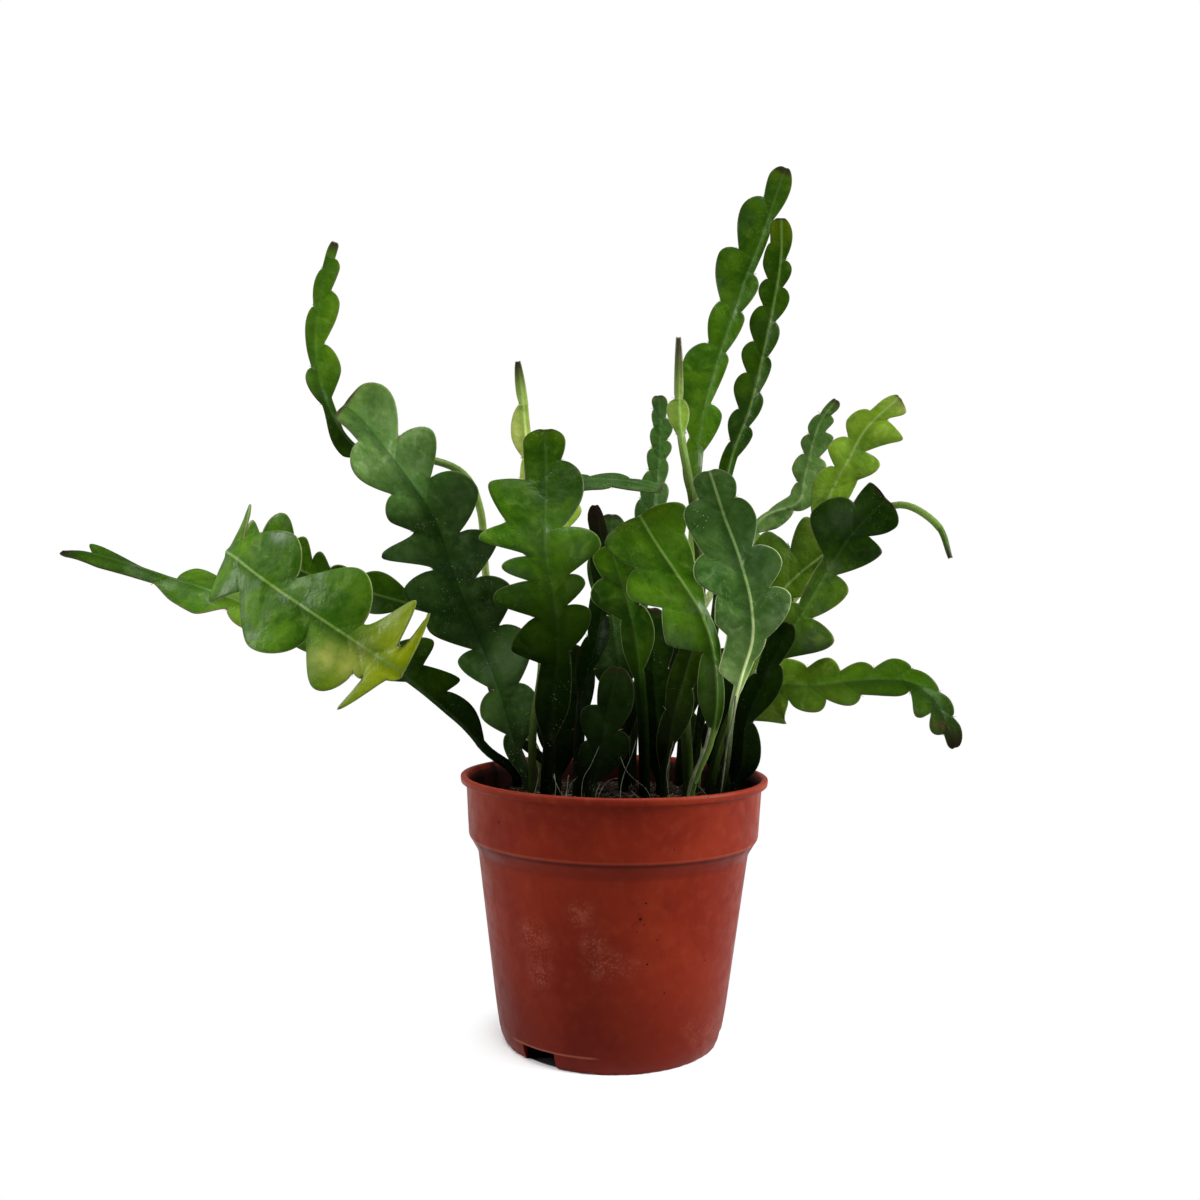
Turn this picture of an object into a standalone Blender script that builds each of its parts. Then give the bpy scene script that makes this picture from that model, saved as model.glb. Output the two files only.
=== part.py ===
"""Potted fishbone cactus: a terracotta-coloured plastic nursery pot, its potting soil and 28 leafless stems.

Each stem is one flat, lobed blade on a round stalk that stands in its own hole in the soil.
Lengths below are in millimetres. The origin is the middle of the pot's foot, with +Z up.
"""

import math
from collections import namedtuple

import bmesh
import bpy
from mathutils import Vector

MM = 0.001
CLEARANCE = 0.3
CUT_PAST = 1.0
MERGE = 0.00001

# Pot: radii and heights of its turned outline
POT_SIDES = 44
POT_WALL = 1.4
POT_HEIGHT = 102.6
LIP_RADIUS = 60.3
LIP_DEPTH = 3.2
LIP_WIDTH = 2.6
LIP_ROUND = 1.4
LIP_UNDERCUT = 0.7
COLLAR_TOP_RADIUS = 57.8
COLLAR_FOOT_RADIUS = 56.6
COLLAR_FOOT_Z = 79.3
COLLAR_ROUND = 0.8
STEP_RADIUS = 52.9
STEP_Z = 73.6
WALL_FOOT_RADIUS = 45.0
WALL_FOOT_Z = 13.5
HEEL_RADIUS = 43.4
HEEL_Z = 4.0
FOOT_RADIUS = 41.6
FOOT_WIDTH = 1.5
FOOT_ROUND = 0.9
BASE_PLATE_Z = 6.8
PAD_RADIUS = 20.0
PAD_SLOPE = 1.0
PAD_ROUND = 0.4

# Pot: notches through the foot and drain holes in the base plate
NOTCH_WIDTH = 15.0
NOTCH_HEIGHT = 6.3
NOTCH_DEPTH = 10.0
NOTCH_AZIMUTHS = (231.5, 351.5, 111.5)
DRAIN_RADIUS = 4.0
DRAIN_RING_RADIUS = 31.0
DRAIN_COUNT = 6
DRAIN_SIDES = 12

# Soil: where its surface meets the wall, its mound and its crumbs
SOIL_SIDES = 36
SOIL_EDGE_Z = 91.0
SOIL_MOUND = 2.5
SOIL_CRUMB = 0.7
SOIL_RINGS = (12.0, 24.0, 36.0, 47.0)
HOLE_SIDES = 8
ROOT_FLOOR_Z = 80.0
SOIL_TOP_Z = 95.5
ROOT_LENGTH = SOIL_TOP_Z - ROOT_FLOOR_Z

# Stems: half thicknesses of the edge and the midrib, and half the tip's width
EDGE_HALF = 0.42
TIP_HALF = 0.9
RIB_HALF_AT_TIP = 0.75
RIB_SWELL_LENGTH = 40.0
BLADE_RIB_SHARE = 0.75
CUP_REACH = 10.0
HALF_CORNER = math.sin(math.radians(30))
WIDE_CORNER = math.cos(math.radians(30))

# Stems: an edge leans to the tip by a share of its reach. Powers above 1 hollow the side of a lobe
LOBE_LEAN = 0.25
FALL_ROUND = 0.95
RISE_ROUND = 0.6
PLAIN_MARK = (1, 0)
TAPER_LENGTH = 14.0

# Stems: how finely a route and a blade are divided
CURVE_STEPS = 40
STALK_STEP = 11.0
SMALLEST_STEP = 1.0
FALL_MIDDLE = 0.6
RISE_MIDDLE = 0.45
BIG_RISE = 5.0
BIG_RISE_START = 0.12
SHARP_ANGLE = math.radians(38)

# Colours, as linear red, green and blue
TERRACOTTA = (0.30, 0.055, 0.028)
PEAT = (0.020, 0.012, 0.008)
DEEP_GREEN = (0.016, 0.050, 0.010)
LEAF_GREEN = (0.050, 0.130, 0.022)
GREY_GREEN = (0.075, 0.160, 0.070)
YOUNG_GREEN = (0.190, 0.300, 0.035)

# A stem's root is (x, y) on the soil. Its route runs from above the soil to the tip, and facing holds the
# directions that its face looks in, evenly spaced along it. An edge lists peak, notch, peak and so on from
# the tip, each as (distance back along the midrib, reach from the midrib). A third number above 1 draws a
# peak out to a point, and a fourth moves the mark towards the tip, in millimetres. PLAIN_MARK holds both
# for marks that don't give them.
Stem = namedtuple("Stem", "name colour root stalk route facing left right cup")

VIEWER = (0, -1, 0)

STEMS = (
    Stem("stem_far_left", LEAF_GREEN, (-40, 26), 2.0,
         ((-53, 27, 108), (-66, 24, 122), (-93, 14, 144), (-122, 6, 157), (-157, 0, 170), (-204, 0, 185),
          (-220, 2, 187)),
         ((0, -1, 0), (0, -1, 0), (0, -0.8, 0.5), (0, -0.6, 0.8), (0, -0.5, 0.8)),
         ((22, 5.5), (42, 4.5), (63, 12, 2), (72, 4), (84, 10), (96, 5), (108, 9), (124, 4.5), (134, 8)),
         ((13, 1.6), (19, 7, 1.5, 8), (34, 2.2), (48, 2), (59, 14), (76, 4), (90, 8), (106, 4), (120, 8),
          (134, 5), (144, 19, 1.3, -8), (151, 8), (157, 13, 1.3, -10), (164, 5), (175, 8)),
         -1.0),
    Stem("stem_left_fold", LEAF_GREEN, (-24, 22), 2.0,
         ((-44, 24, 118), (-56, 20, 150), (-67, 17, 163), (-85, 15, 169), (-120, 9, 179), (-138, 2, 187),
          (-147, -14, 187), (-139, -33, 184), (-120, -46, 172.5), (-82, -62, 150.5), (-72.8, -65.6, 145.5)),
         ((0, 1, 0), (0, 1, 0), (0, 1, 0), (0, 1, 0.2), (-1, 0.2, 0.5), (-0.5, -1, 0.3), (0, -1, 0.1),
          (0, -1, 0.1)),
         ((3, 22, 3, -3.5), (9, 6.5, 1, 1), (15, 23, 2.5), (25, 6.5), (38, 22), (57, 6.5), (69.5, 19.5),
          (88, 7), (97, 20, 2), (108, 8), (114, 14), (120, 6.5), (127, 17.5), (133, 9), (137, 12.5),
          (142, 5.6), (145.5, 9.8), (150, 4.6), (155, 7.5), (163, 5), (171, 9)),
         ((4.5, 5), (9, 22.5, 3, -8.7), (14, 9, 1, -0.5), (16, 10), (18.5, 9.5), (28.5, 21), (41, 8.5),
          (59, 22), (75, 9), (89, 19, 2), (106, 7), (119, 12), (135, 5), (144, 8), (162, 5), (170, 9)),
         0.6),
    Stem("stem_left_tall", LEAF_GREEN, (-30, 36), 1.6,
         ((-44, 34, 130), (-54, 32, 176), (-57, 27, 208), (-66, 23, 224), (-90, 22, 230), (-106, 22, 231),
          (-117, 22, 243), (-124, 18, 264), (-122, 12, 290), (-115, 8, 313)),
         ((0.2, -1, 0),),
         ((5, 2), (12, 1.7), (18, 3.2), (27, 1.8), (35, 4.2), (51, 1.8), (56, 5), (66, 1.8), (87, 6, 3),
          (94, 1.6)),
         ((2, 2), (6.5, 2), (11, 5), (20, 4), (27, 8.5), (42, 3.5), (55, 10), (65, 3)),
         1.0),
    Stem("stem_left_broad", GREY_GREEN, (-34, 12), 2.2,
         ((-40, 14, 112), (-47, 14, 135), (-55, 12, 155), (-65, 7, 180), (-71, 4, 198), (-79, 1, 212),
          (-98, -5, 237), (-107, -8, 245)),
         ((0, -1, 0), (0, -1, 0), (0.1, -1, 0.2)),
         ((2.5, 6), (16, 6.5), (28, 15.5), (41, 8.5), (51, 15.5), (60, 9.5), (71, 24.5, 2.5), (77, 7),
          (85, 21), (94, 15), (100, 17.5), (112, 4.5), (117, 12), (130, 2.5), (141, 10.5), (149, 2.5),
          (155, 5)),
         ((10, 15.5), (24, 7), (33, 19), (44, 7.5), (57, 21), (66, 7.5), (77, 21), (86, 7.5), (98, 20),
          (108, 9), (120, 19), (132, 8), (142, 14)),
         1.0),
    Stem("stem_left_spear", YOUNG_GREEN, (-32, -4), 1.6,
         ((-32, -3, 121), (-29, 0, 147), (-31, 6, 186), (-36, 10, 225), (-39, 12, 253), (-41, 12, 267)),
         (VIEWER,),
         ((12, 2.4), (18, 1.5), (31, 6), (40, 2), (61, 5)),
         ((26, 2), (57, 1.8), (68, 19), (76, 5)),
         0.0),
    Stem("stem_front_left", LEAF_GREEN, (-26, -18), 2.2,
         ((-25, -18, 118), (-23, -18, 140), (-22, -21, 157), (-24, -25, 173), (-27, -29, 192),
          (-27, -26, 211), (-28, -20, 235)),
         ((0, -1, 0), (0, -1, 0), (0, -1, 0.1)),
         ((8, 8.5), (22, 8), (30, 21.5), (40, 14.5), (46, 24, 2.5), (50, 7.5), (54, 17), (59, 8), (67, 22),
          (74, 8), (87, 17.5, 1, -3), (93, 6), (107, 7)),
         ((7, 7.5), (14, 5.5), (27, 14), (40, 6.5), (52, 20.5), (59, 7), (64, 12.5), (70, 4.5), (75, 13),
          (87, 4), (106, 6.5)),
         1.0),
    Stem("stem_level", GREY_GREEN, (-14, 14), 1.8,
         ((-20, 15, 140), (-25, 16, 180), (-25, 18, 206), (-17, 21, 218), (0, 23, 220), (19, 24, 217)),
         ((0.3, -1, 0), (0.3, -1, 0), (0.2, -0.8, 0.6), (0, -0.6, 1)),
         ((7, 5), (15, 3.2), (21.5, 6), (31, 3.8), (37.5, 6)),
         ((14.5, 6), (23, 3.8), (29.5, 6), (41, 3.4), (47, 5)),
         0.5),
    Stem("stem_dark_tip", DEEP_GREEN, (-14, -4), 2.2,
         ((-13, -2, 135), (-7, 4, 163), (-6, 8, 185), (-9, 9, 209)),
         ((0.4, -1, 0),),
         ((7, 4), (16, 2.6), (23, 5), (35, 3), (43, 5), (55, 3), (63, 5)),
         ((14, 4), (26, 2.8), (33, 5), (45, 3.2), (53.5, 6), (67, 3), (75, 5)),
         0.0),
    Stem("stem_low_left", DEEP_GREEN, (-23, 7), 2.2,
         ((-23, 6, 115), (-20, 6, 135), (-17, 6, 153)),
         (VIEWER,),
         ((6.5, 6), (14, 4.5), (19, 9), (28, 5.5), (34, 9)),
         ((13, 9), (22, 5.5), (27.5, 10), (35, 5.5), (40, 9)),
         0.6),
    Stem("stem_low_middle", DEEP_GREEN, (-9, -16), 2.2,
         ((-6, -15, 112), (-3, -13, 128), (1, -11, 145)),
         (VIEWER,),
         ((8.5, 6), (17, 4.5), (22.5, 10), (31, 5.5), (36, 8)),
         ((15, 9), (25, 5.5), (31, 11)),
         0.6),
    Stem("stem_dark_middle", DEEP_GREEN, (19, 6), 2.2,
         ((17, 6, 120), (15, 6, 145), (14, 4, 168)),
         (VIEWER,),
         ((7.5, 6), (18, 4.5), (24, 8), (35, 5.5), (42, 8), (50, 4.5), (55.5, 6)),
         ((15, 9), (26, 6), (32, 9), (44, 5.5), (51, 8)),
         0.4),
    Stem("stem_grey_back", GREY_GREEN, (4, 12), 2.2,
         ((4, 14, 130), (0, 16, 155), (-3, 18, 178), (-2, 18, 206)),
         (VIEWER,),
         ((6.5, 6), (17, 4.5), (23, 9), (37, 5), (44, 8), (57, 5.5), (65, 11), (74, 6), (82, 9)),
         ((14, 8), (26, 4.5), (33, 9), (47, 5), (55, 8), (70, 4), (77.5, 6)),
         0.6),
    Stem("stem_inner_stalk", LEAF_GREEN, (12, -2), 2.2,
         ((11, -4, 122), (9, -6, 144), (6, -9, 163), (1, -11, 180), (-3, -11, 192)),
         (VIEWER,),
         ((5.5, 8), (13, 6.5), (20.5, 13), (30, 4), (40, 5.5)),
         ((12, 9), (26, 4.5), (36.5, 8)),
         0.8),
    Stem("stem_front_middle", LEAF_GREEN, (29, -16), 1.5,
         ((36, -19, 118), (38, -21, 135), (36, -25, 152), (32, -25, 165), (25.5, -24, 176), (14, -22, 193),
          (8, -21, 203)),
         ((0, -1, 0), (0, -1, 0), (0, -1, 0.15)),
         ((9, 17.5), (19, 11), (29, 20), (37, 11.5), (51, 16.5, 1, -3), (60, 3.5, 1, 1), (76, 7.5)),
         ((11, 16.5), (18, 11), (30, 7), (43, 2.8), (56, 3.2), (66, 2.2), (78, 3)),
         1.0),
    Stem("stem_front_right", GREY_GREEN, (40, -20), 1.2,
         ((42, -24, 112), (43, -28, 129), (46, -32, 144), (49, -36, 157), (48, -40, 170), (44, -41, 185),
          (38, -38, 202), (33, -32, 219)),
         ((0, -1, 0), (0, -1, 0), (0, -1, 0.2)),
         ((6, 7.5), (12, 6.8), (20, 14.5), (33, 12), (42, 18), (49, 11.5), (61, 14), (68, 9.5),
          (80, 9, 1, -1.5), (85, 1.6)),
         ((9, 8), (15, 6), (25, 11), (34, 6), (43, 14), (49.5, 7.5), (55, 14.5), (66, 5), (74, 2.8)),
         1.2),
    Stem("stem_tallest", LEAF_GREEN, (30, 8), 2.2,
         ((28, 6, 131), (30, 7, 160), (31, 12, 195), (33, 17, 235), (37, 20, 258), (49, 22, 297),
          (57, 21, 319), (67, 18, 349)),
         ((0, -1, 0), (0, -1, 0), (0, -1, 0)),
         ((7, 5.5), (15, 4.5), (25, 12), (39, 7), (46, 14), (61, 6.5), (69, 9), (79, 5.5), (91, 13.5),
          (118, 4), (130, 6)),
         ((10, 5), (22, 2.2), (30, 3), (45, 2.5), (51, 6.5), (62, 3), (66, 5.5), (80, 2.2), (84, 4.5),
          (102, 2.2), (109, 8), (123, 2.2)),
         0.8),
    Stem("stem_tall_right", LEAF_GREEN, (33, 22), 2.0,
         ((38, 18, 140), (42, 14, 180), (44, 10, 222), (53, 8, 251), (61, 8, 289), (64, 8, 309),
          (64, 8, 325)),
         ((0, -1, 0),),
         ((5, 4.5), (11, 4.5), (20, 7), (26, 4), (31.5, 7), (37, 3.8), (45, 8), (52, 4.5), (58.5, 8.5),
          (65, 4.5), (72, 8.5), (80, 4), (86, 6.5), (93, 2.5), (102, 4)),
         ((8, 4.5), (17, 2), (21.5, 5), (28, 2.4), (33.5, 6), (42, 2.2), (47.5, 5), (56.5, 2.2), (61, 4.5),
          (71, 2.2), (75.5, 4.8), (85, 2.2), (89, 5), (98, 2.4)),
         1.0),
    Stem("stem_pale_spear", YOUNG_GREEN, (19, -10), 1.5,
         ((22, -12, 125), (27, -12, 144), (32, -11, 165), (32, -7, 187), (29, -3, 212), (24, -2, 240),
          (23, 0, 275)),
         (VIEWER,),
         ((22, 1.7), (25, 1.4), (30, 5), (39, 1.4), (120, 1.6), (138, 6), (150, 3.5), (160, 5)),
         ((22, 1.8), (25, 1.4), (31, 4), (39, 1.4), (110, 1.6), (128, 7), (140, 4), (150, 7)),
         0.0),
    Stem("stem_narrow_back", GREY_GREEN, (8, 34), 1.8,
         ((11, 36, 150), (14, 38, 197), (17, 38, 225), (18, 38, 246), (17, 36, 258)),
         (VIEWER,),
         ((3, 3), (6, 2.4), (9.5, 3.6), (14, 2.6), (18, 4.2), (23, 2.8), (27, 5), (33, 3.4), (41, 6.5),
          (46, 5.5), (51, 7.5), (61, 4.5), (68, 6)),
         ((4, 3.8), (10, 2.4), (15, 5.5), (19.5, 3), (23, 5.5), (27.5, 3), (32, 4.8), (37.5, 3.5), (42, 6),
          (51, 4), (59, 7)),
         0.5),
    Stem("stem_far_right_small", GREY_GREEN, (22, 31), 1.6,
         ((30, 30, 150), (42, 30, 178), (60, 32, 205), (76, 34, 213), (79, 34, 224), (84, 31, 245),
          (91, 28, 256)),
         (VIEWER,),
         ((5, 2), (9, 1.8), (15, 4), (18, 2.4), (22, 5), (26, 2.2), (34, 6), (38, 2), (46, 5)),
         ((3, 3), (7, 2.2), (10, 5), (15.5, 3.5), (18.5, 8), (27, 4), (31, 8), (38.5, 4), (42, 6.5),
          (50, 1.8), (63, 7), (70, 3), (78, 10)),
         0.6),
    Stem("stem_far_right_young", YOUNG_GREEN, (42, 27), 1.8,
         ((52, 25, 130), (64, 26, 160), (76, 26, 189), (89, 24, 218), (95, 22, 230), (102, 20, 243),
          (114, 14, 255)),
         ((0, -1, 0), (0, -1, 0), (0, -1, 0.2)),
         ((8, 4), (13, 4), (21, 8.5), (25.5, 4), (34, 10), (38.5, 3.5), (48, 8.5)),
         ((4, 6.5, 2), (10.5, 3.5), (14.5, 14), (28, 4.5), (32.5, 12.5), (40, 7.5), (47, 8)),
         0.8),
    Stem("stem_right_upper", DEEP_GREEN, (44, 8), 2.2,
         ((57, 8, 131), (64, 6, 150), (76, 2, 171), (83, 0, 184), (91, -2, 197), (98, -3, 205),
          (105, -4, 212)),
         (VIEWER,),
         ((3, 9.5), (12, 8), (25, 18), (33, 4), (46, 4.5), (54, 3), (64, 10)),
         ((8, 10.5), (17, 5.5), (22.5, 14), (37, 4), (43.5, 11.5), (56.5, 4.5), (63, 16.5), (77, 2.5)),
         1.0),
    Stem("stem_right_young", YOUNG_GREEN, (38, 0), 2.0,
         ((42, 1, 115), (50, 3, 135), (57, 6, 155), (65, 9, 173), (73, 12, 182), (88, 14, 194)),
         (VIEWER,),
         ((8, 17), (17, 10), (24.5, 22), (35, 9), (41.5, 14), (50, 6), (54, 8)),
         ((5.5, 6), (14, 4), (20.5, 11), (30, 5.5), (37, 7)),
         0.8),
    Stem("stem_right_shoot", LEAF_GREEN, (36, 37), 1.5,
         ((50, 38, 140), (74, 37, 170), (97, 36, 197), (111, 32, 210), (121, 26, 212), (131, 16, 203),
          (135, 12, 190)),
         (VIEWER,),
         (),
         (),
         0.0),
    Stem("stem_right_level", LEAF_GREEN, (48, 18), 2.0,
         ((51, 19, 118), (58, 17, 132), (67, 13, 138), (79, 9, 138), (103, 0, 141), (116, -4, 140),
          (124, -8, 133), (128, -10, 124), (131, -11, 116)),
         ((0, -1, 0.1),),
         ((8, 5), (12.5, 3.5), (17, 5.5), (22, 4), (29, 6), (33, 5.5), (39, 8.5), (46, 4.5), (51.5, 7.5),
          (59, 4.5), (65, 10.5), (74, 7), (82, 10)),
         ((3, 2.4), (7, 2.2), (11, 6.5), (17, 3.5), (22, 9.5), (31, 3), (39, 6.5), (52, 5.5), (57.5, 9.5),
          (66, 6), (71, 11), (82, 7), (93, 16, 1, -4), (105, 3)),
         0.8),
    Stem("stem_right_dark", DEEP_GREEN, (46, -4), 2.2,
         ((49, -7, 110), (50, -9, 123), (55, -9, 137), (61, -8, 150), (67, -7, 163)),
         (VIEWER,),
         ((12, 5), (24, 3.5), (32.5, 6), (44, 4), (52, 7)),
         ((7, 5), (17, 3.5), (27, 8), (42, 2.5), (56, 7.5)),
         0.8),
    Stem("stem_back_right", DEEP_GREEN, (29, 43), 2.2,
         ((30, 43, 118), (31, 43, 142), (31, 43, 168)),
         (VIEWER,),
         ((8, 6), (17, 4.5), (23, 8), (36, 5), (44, 8)),
         ((13, 8), (27, 5), (34, 8), (46, 4.5), (54, 7)),
         0.3),
    Stem("stem_low_right", DEEP_GREEN, (41, 14), 2.2,
         ((42, 14, 112), (44, 14, 132), (45, 14, 152)),
         (VIEWER,),
         ((7, 5), (15, 4), (21, 7), (31, 4.5), (37, 7)),
         ((12, 6), (22, 4), (28, 7), (38, 4)),
         0.2),
)


def clear_scene():
    for item in list(bpy.data.objects):
        bpy.data.objects.remove(item, do_unlink=True)


def new_collection(name):
    collection = bpy.data.collections.new(name)
    bpy.context.scene.collection.children.link(collection)
    return collection


def material(name, colour, roughness):
    made = bpy.data.materials.new(name)
    made.use_nodes = True
    shader = made.node_tree.nodes["Principled BSDF"]
    shader.inputs["Base Color"].default_value = (*colour, 1.0)
    shader.inputs["Roughness"].default_value = roughness
    return made


def object_from_bmesh(name, shape, collection, finish=None):
    mesh = bpy.data.meshes.new(name)
    shape.to_mesh(mesh)
    shape.free()
    made = bpy.data.objects.new(name, mesh)
    if finish:
        mesh.materials.append(finish)
    collection.objects.link(made)
    return made


def turned(name, outline, sides, collection, finish):
    """Turns an outline of (radius, height) round the Z axis. It runs up the inside and down the outside."""
    shape = bmesh.new()
    points = [shape.verts.new((radius * MM, 0, height * MM)) for radius, height in outline]
    for first, second in zip(points, points[1:]):
        shape.edges.new((first, second))
    made = object_from_bmesh(name, shape, collection, finish)
    screw = made.modifiers.new("turn", "SCREW")
    screw.steps = sides
    screw.render_steps = sides
    screw.use_merge_vertices = True
    screw.merge_threshold = MERGE
    return made


def hide_cutters(cutters):
    for cutter in cutters.objects:
        cutter.hide_render = True
        cutter.display_type = "WIRE"


def cut_with(target, cutters):
    cut = target.modifiers.new("cut", "BOOLEAN")
    cut.operation = "DIFFERENCE"
    cut.operand_type = "COLLECTION"
    cut.collection = cutters
    cut.solver = "EXACT"


def upright_cylinder(name, x, y, bottom, top, radius, sides, collection):
    shape = bmesh.new()
    bmesh.ops.create_cone(shape, cap_ends=True, segments=sides, radius1=radius * MM, radius2=radius * MM,
                          depth=(top - bottom) * MM)
    made = object_from_bmesh(name, shape, collection)
    made.location = (x * MM, y * MM, (top + bottom) / 2 * MM)
    return made


def rounded_corner(radius, height, rounding):
    """Three points of a quarter circle, over an upper and outer corner of a turned outline."""
    return [(radius - rounding * (1 - math.cos(angle)), height - rounding * (1 - math.sin(angle)))
            for angle in (math.pi / 2, math.pi / 4, 0)]


def heel_radius(height):
    """Outer radius of the pot at a height between its heel and the foot of its wall."""
    return HEEL_RADIUS + (WALL_FOOT_RADIUS - HEEL_RADIUS) * (height - HEEL_Z) / (WALL_FOOT_Z - HEEL_Z)


def inner_wall_outline(gap):
    """The pot's inside from the middle of its floor up to the foot of the collar, moved inwards by gap."""
    inset = POT_WALL + gap
    floor = BASE_PLATE_Z + inset
    return [
        (0, inset),
        (PAD_RADIUS - PAD_SLOPE - gap, inset),
        (PAD_RADIUS - gap, floor),
        (heel_radius(floor) - inset, floor),
        (WALL_FOOT_RADIUS - inset, WALL_FOOT_Z),
        (STEP_RADIUS - inset, STEP_Z),
        (COLLAR_FOOT_RADIUS - inset, COLLAR_FOOT_Z),
    ]


def foot_notch_cutters(cutters):
    for index, azimuth in enumerate(NOTCH_AZIMUTHS):
        shape = bmesh.new()
        bmesh.ops.create_cube(shape, size=1.0)
        notch = object_from_bmesh(f"notch_cutter_{index}", shape, cutters)
        angle = math.radians(azimuth)
        notch.scale = (NOTCH_DEPTH * MM, NOTCH_WIDTH * MM, 2 * NOTCH_HEIGHT * MM)
        notch.rotation_euler = (0, 0, angle)
        notch.location = (FOOT_RADIUS * math.cos(angle) * MM, FOOT_RADIUS * math.sin(angle) * MM, 0)


def drain_cutters(cutters):
    for index in range(DRAIN_COUNT):
        angle = 2 * math.pi * (index + 0.5) / DRAIN_COUNT
        upright_cylinder(f"drain_cutter_{index}", DRAIN_RING_RADIUS * math.cos(angle),
                         DRAIN_RING_RADIUS * math.sin(angle), BASE_PLATE_Z - CUT_PAST,
                         BASE_PLATE_Z + POT_WALL + CUT_PAST, DRAIN_RADIUS, DRAIN_SIDES, cutters)


def make_pot(parts):
    lip_foot = POT_HEIGHT - LIP_DEPTH
    inside = inner_wall_outline(0)
    lip = [
        (COLLAR_TOP_RADIUS - POT_WALL, lip_foot - LIP_UNDERCUT),
        (LIP_RADIUS - LIP_WIDTH, POT_HEIGHT - LIP_UNDERCUT),
        *rounded_corner(LIP_RADIUS, POT_HEIGHT, LIP_ROUND),
        (LIP_RADIUS - LIP_UNDERCUT, lip_foot + LIP_UNDERCUT),
        (COLLAR_TOP_RADIUS, lip_foot),
    ]
    outside = [
        (COLLAR_FOOT_RADIUS, COLLAR_FOOT_Z + COLLAR_ROUND),
        (COLLAR_FOOT_RADIUS - COLLAR_ROUND, COLLAR_FOOT_Z - COLLAR_ROUND),
        (STEP_RADIUS, STEP_Z),
        (WALL_FOOT_RADIUS, WALL_FOOT_Z),
        (HEEL_RADIUS, HEEL_Z),
        (FOOT_RADIUS + FOOT_ROUND, FOOT_ROUND),
        (FOOT_RADIUS, 0),
    ]
    underside = [
        (FOOT_RADIUS - FOOT_WIDTH, 0),
        (heel_radius(BASE_PLATE_Z) - POT_WALL, BASE_PLATE_Z),
        (PAD_RADIUS + PAD_ROUND + PAD_SLOPE, BASE_PLATE_Z),
        (PAD_RADIUS + PAD_ROUND, PAD_ROUND),
        (PAD_RADIUS, 0),
        (0, 0),
    ]
    pot = turned("pot", inside + lip + outside + underside, POT_SIDES, parts,
                 material("pot_terracotta_plastic", TERRACOTTA, 0.45))
    cutters = new_collection("pot_cutters")
    foot_notch_cutters(cutters)
    drain_cutters(cutters)
    hide_cutters(cutters)
    cut_with(pot, cutters)
    return pot


def crumb_height(x, y):
    """A low, uneven swell that stands for crumbs of peat."""
    return SOIL_CRUMB * (math.sin(0.31 * x + 1.3) * math.cos(0.27 * y) + math.sin(0.17 * x - 0.41 * y))


def make_soil(parts):
    wall = inner_wall_outline(CLEARANCE)
    collar_slope = (COLLAR_TOP_RADIUS - COLLAR_FOOT_RADIUS) / (POT_HEIGHT - LIP_DEPTH - COLLAR_FOOT_Z)
    edge_radius = wall[-1][0] + collar_slope * (SOIL_EDGE_Z - COLLAR_FOOT_Z)
    surface = [(edge_radius, SOIL_EDGE_Z)]
    for radius in reversed(SOIL_RINGS):
        surface.append((radius, SOIL_EDGE_Z + SOIL_MOUND * (1 - (radius / edge_radius) ** 2)))
    surface.append((0, SOIL_EDGE_Z + SOIL_MOUND))
    outline = list(reversed(wall + surface))
    soil = turned("potting_soil", outline, SOIL_SIDES, parts, material("peat", PEAT, 0.95))
    plain = bpy.data.meshes.new_from_object(soil.evaluated_get(bpy.context.evaluated_depsgraph_get()))
    soil.modifiers.clear()
    soil.data = plain
    for vertex in plain.vertices:
        x, y, z = vertex.co / MM
        if z > SOIL_EDGE_Z + CLEARANCE:
            vertex.co.z += crumb_height(x, y) * MM
    cutters = new_collection("soil_cutters")
    for stem in STEMS:
        radius = (stem.stalk + CLEARANCE) / math.cos(math.pi / HOLE_SIDES)
        upright_cylinder("hole_for_" + stem.name, *stem.root, ROOT_FLOOR_Z - CLEARANCE,
                         SOIL_TOP_Z + CUT_PAST, radius, HOLE_SIDES, cutters)
    hide_cutters(cutters)
    cut_with(soil, cutters)
    return soil


def eased(start, end, leaving, arriving, share):
    """A point between two others, on the curve that leaves and arrives with the given slopes."""
    rise = 3 * share ** 2 - 2 * share ** 3
    early = share * (1 - share) ** 2
    late = share ** 2 * (share - 1)
    return start * (1 - rise) + end * rise + leaving * early + arriving * late


def smooth_route(stem):
    """Points along the stem, from its root's foot to its tip, closely spaced."""
    x, y = stem.root
    knots = [Vector((x, y, SOIL_TOP_Z))] + [Vector(point) for point in stem.route]
    slopes = [Vector((0, 0, (knots[1] - knots[0]).length))]
    for before, after in zip(knots, knots[2:]):
        slopes.append((after - before) / 2)
    slopes.append(knots[-1] - knots[-2])
    points = [Vector((x, y, ROOT_FLOOR_Z))]
    for start, end, leaving, arriving in zip(knots, knots[1:], slopes, slopes[1:]):
        for step in range(CURVE_STEPS):
            points.append(eased(start, end, leaving, arriving, step / CURVE_STEPS))
    return points + [knots[-1]]


def running_lengths(points):
    lengths = [0.0]
    for first, second in zip(points, points[1:]):
        lengths.append(lengths[-1] + (second - first).length)
    return lengths


def point_at(points, lengths, distance):
    """The place and the direction of a route at a distance from its foot."""
    index = 0
    while index < len(lengths) - 2 and lengths[index + 1] < distance:
        index += 1
    span = lengths[index + 1] - lengths[index]
    share = (distance - lengths[index]) / span
    before = points[max(index - 1, 0)]
    after = points[min(index + 2, len(points) - 1)]
    return points[index].lerp(points[index + 1], share), (after - before).normalized()


def facing_at(stem, share):
    """The direction that the face looks in at a share of the way from foot to tip."""
    place = share * (len(stem.facing) - 1)
    index = min(int(place), max(len(stem.facing) - 2, 0))
    following = min(index + 1, len(stem.facing) - 1)
    return Vector(stem.facing[index]).lerp(Vector(stem.facing[following]), place - index)


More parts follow.
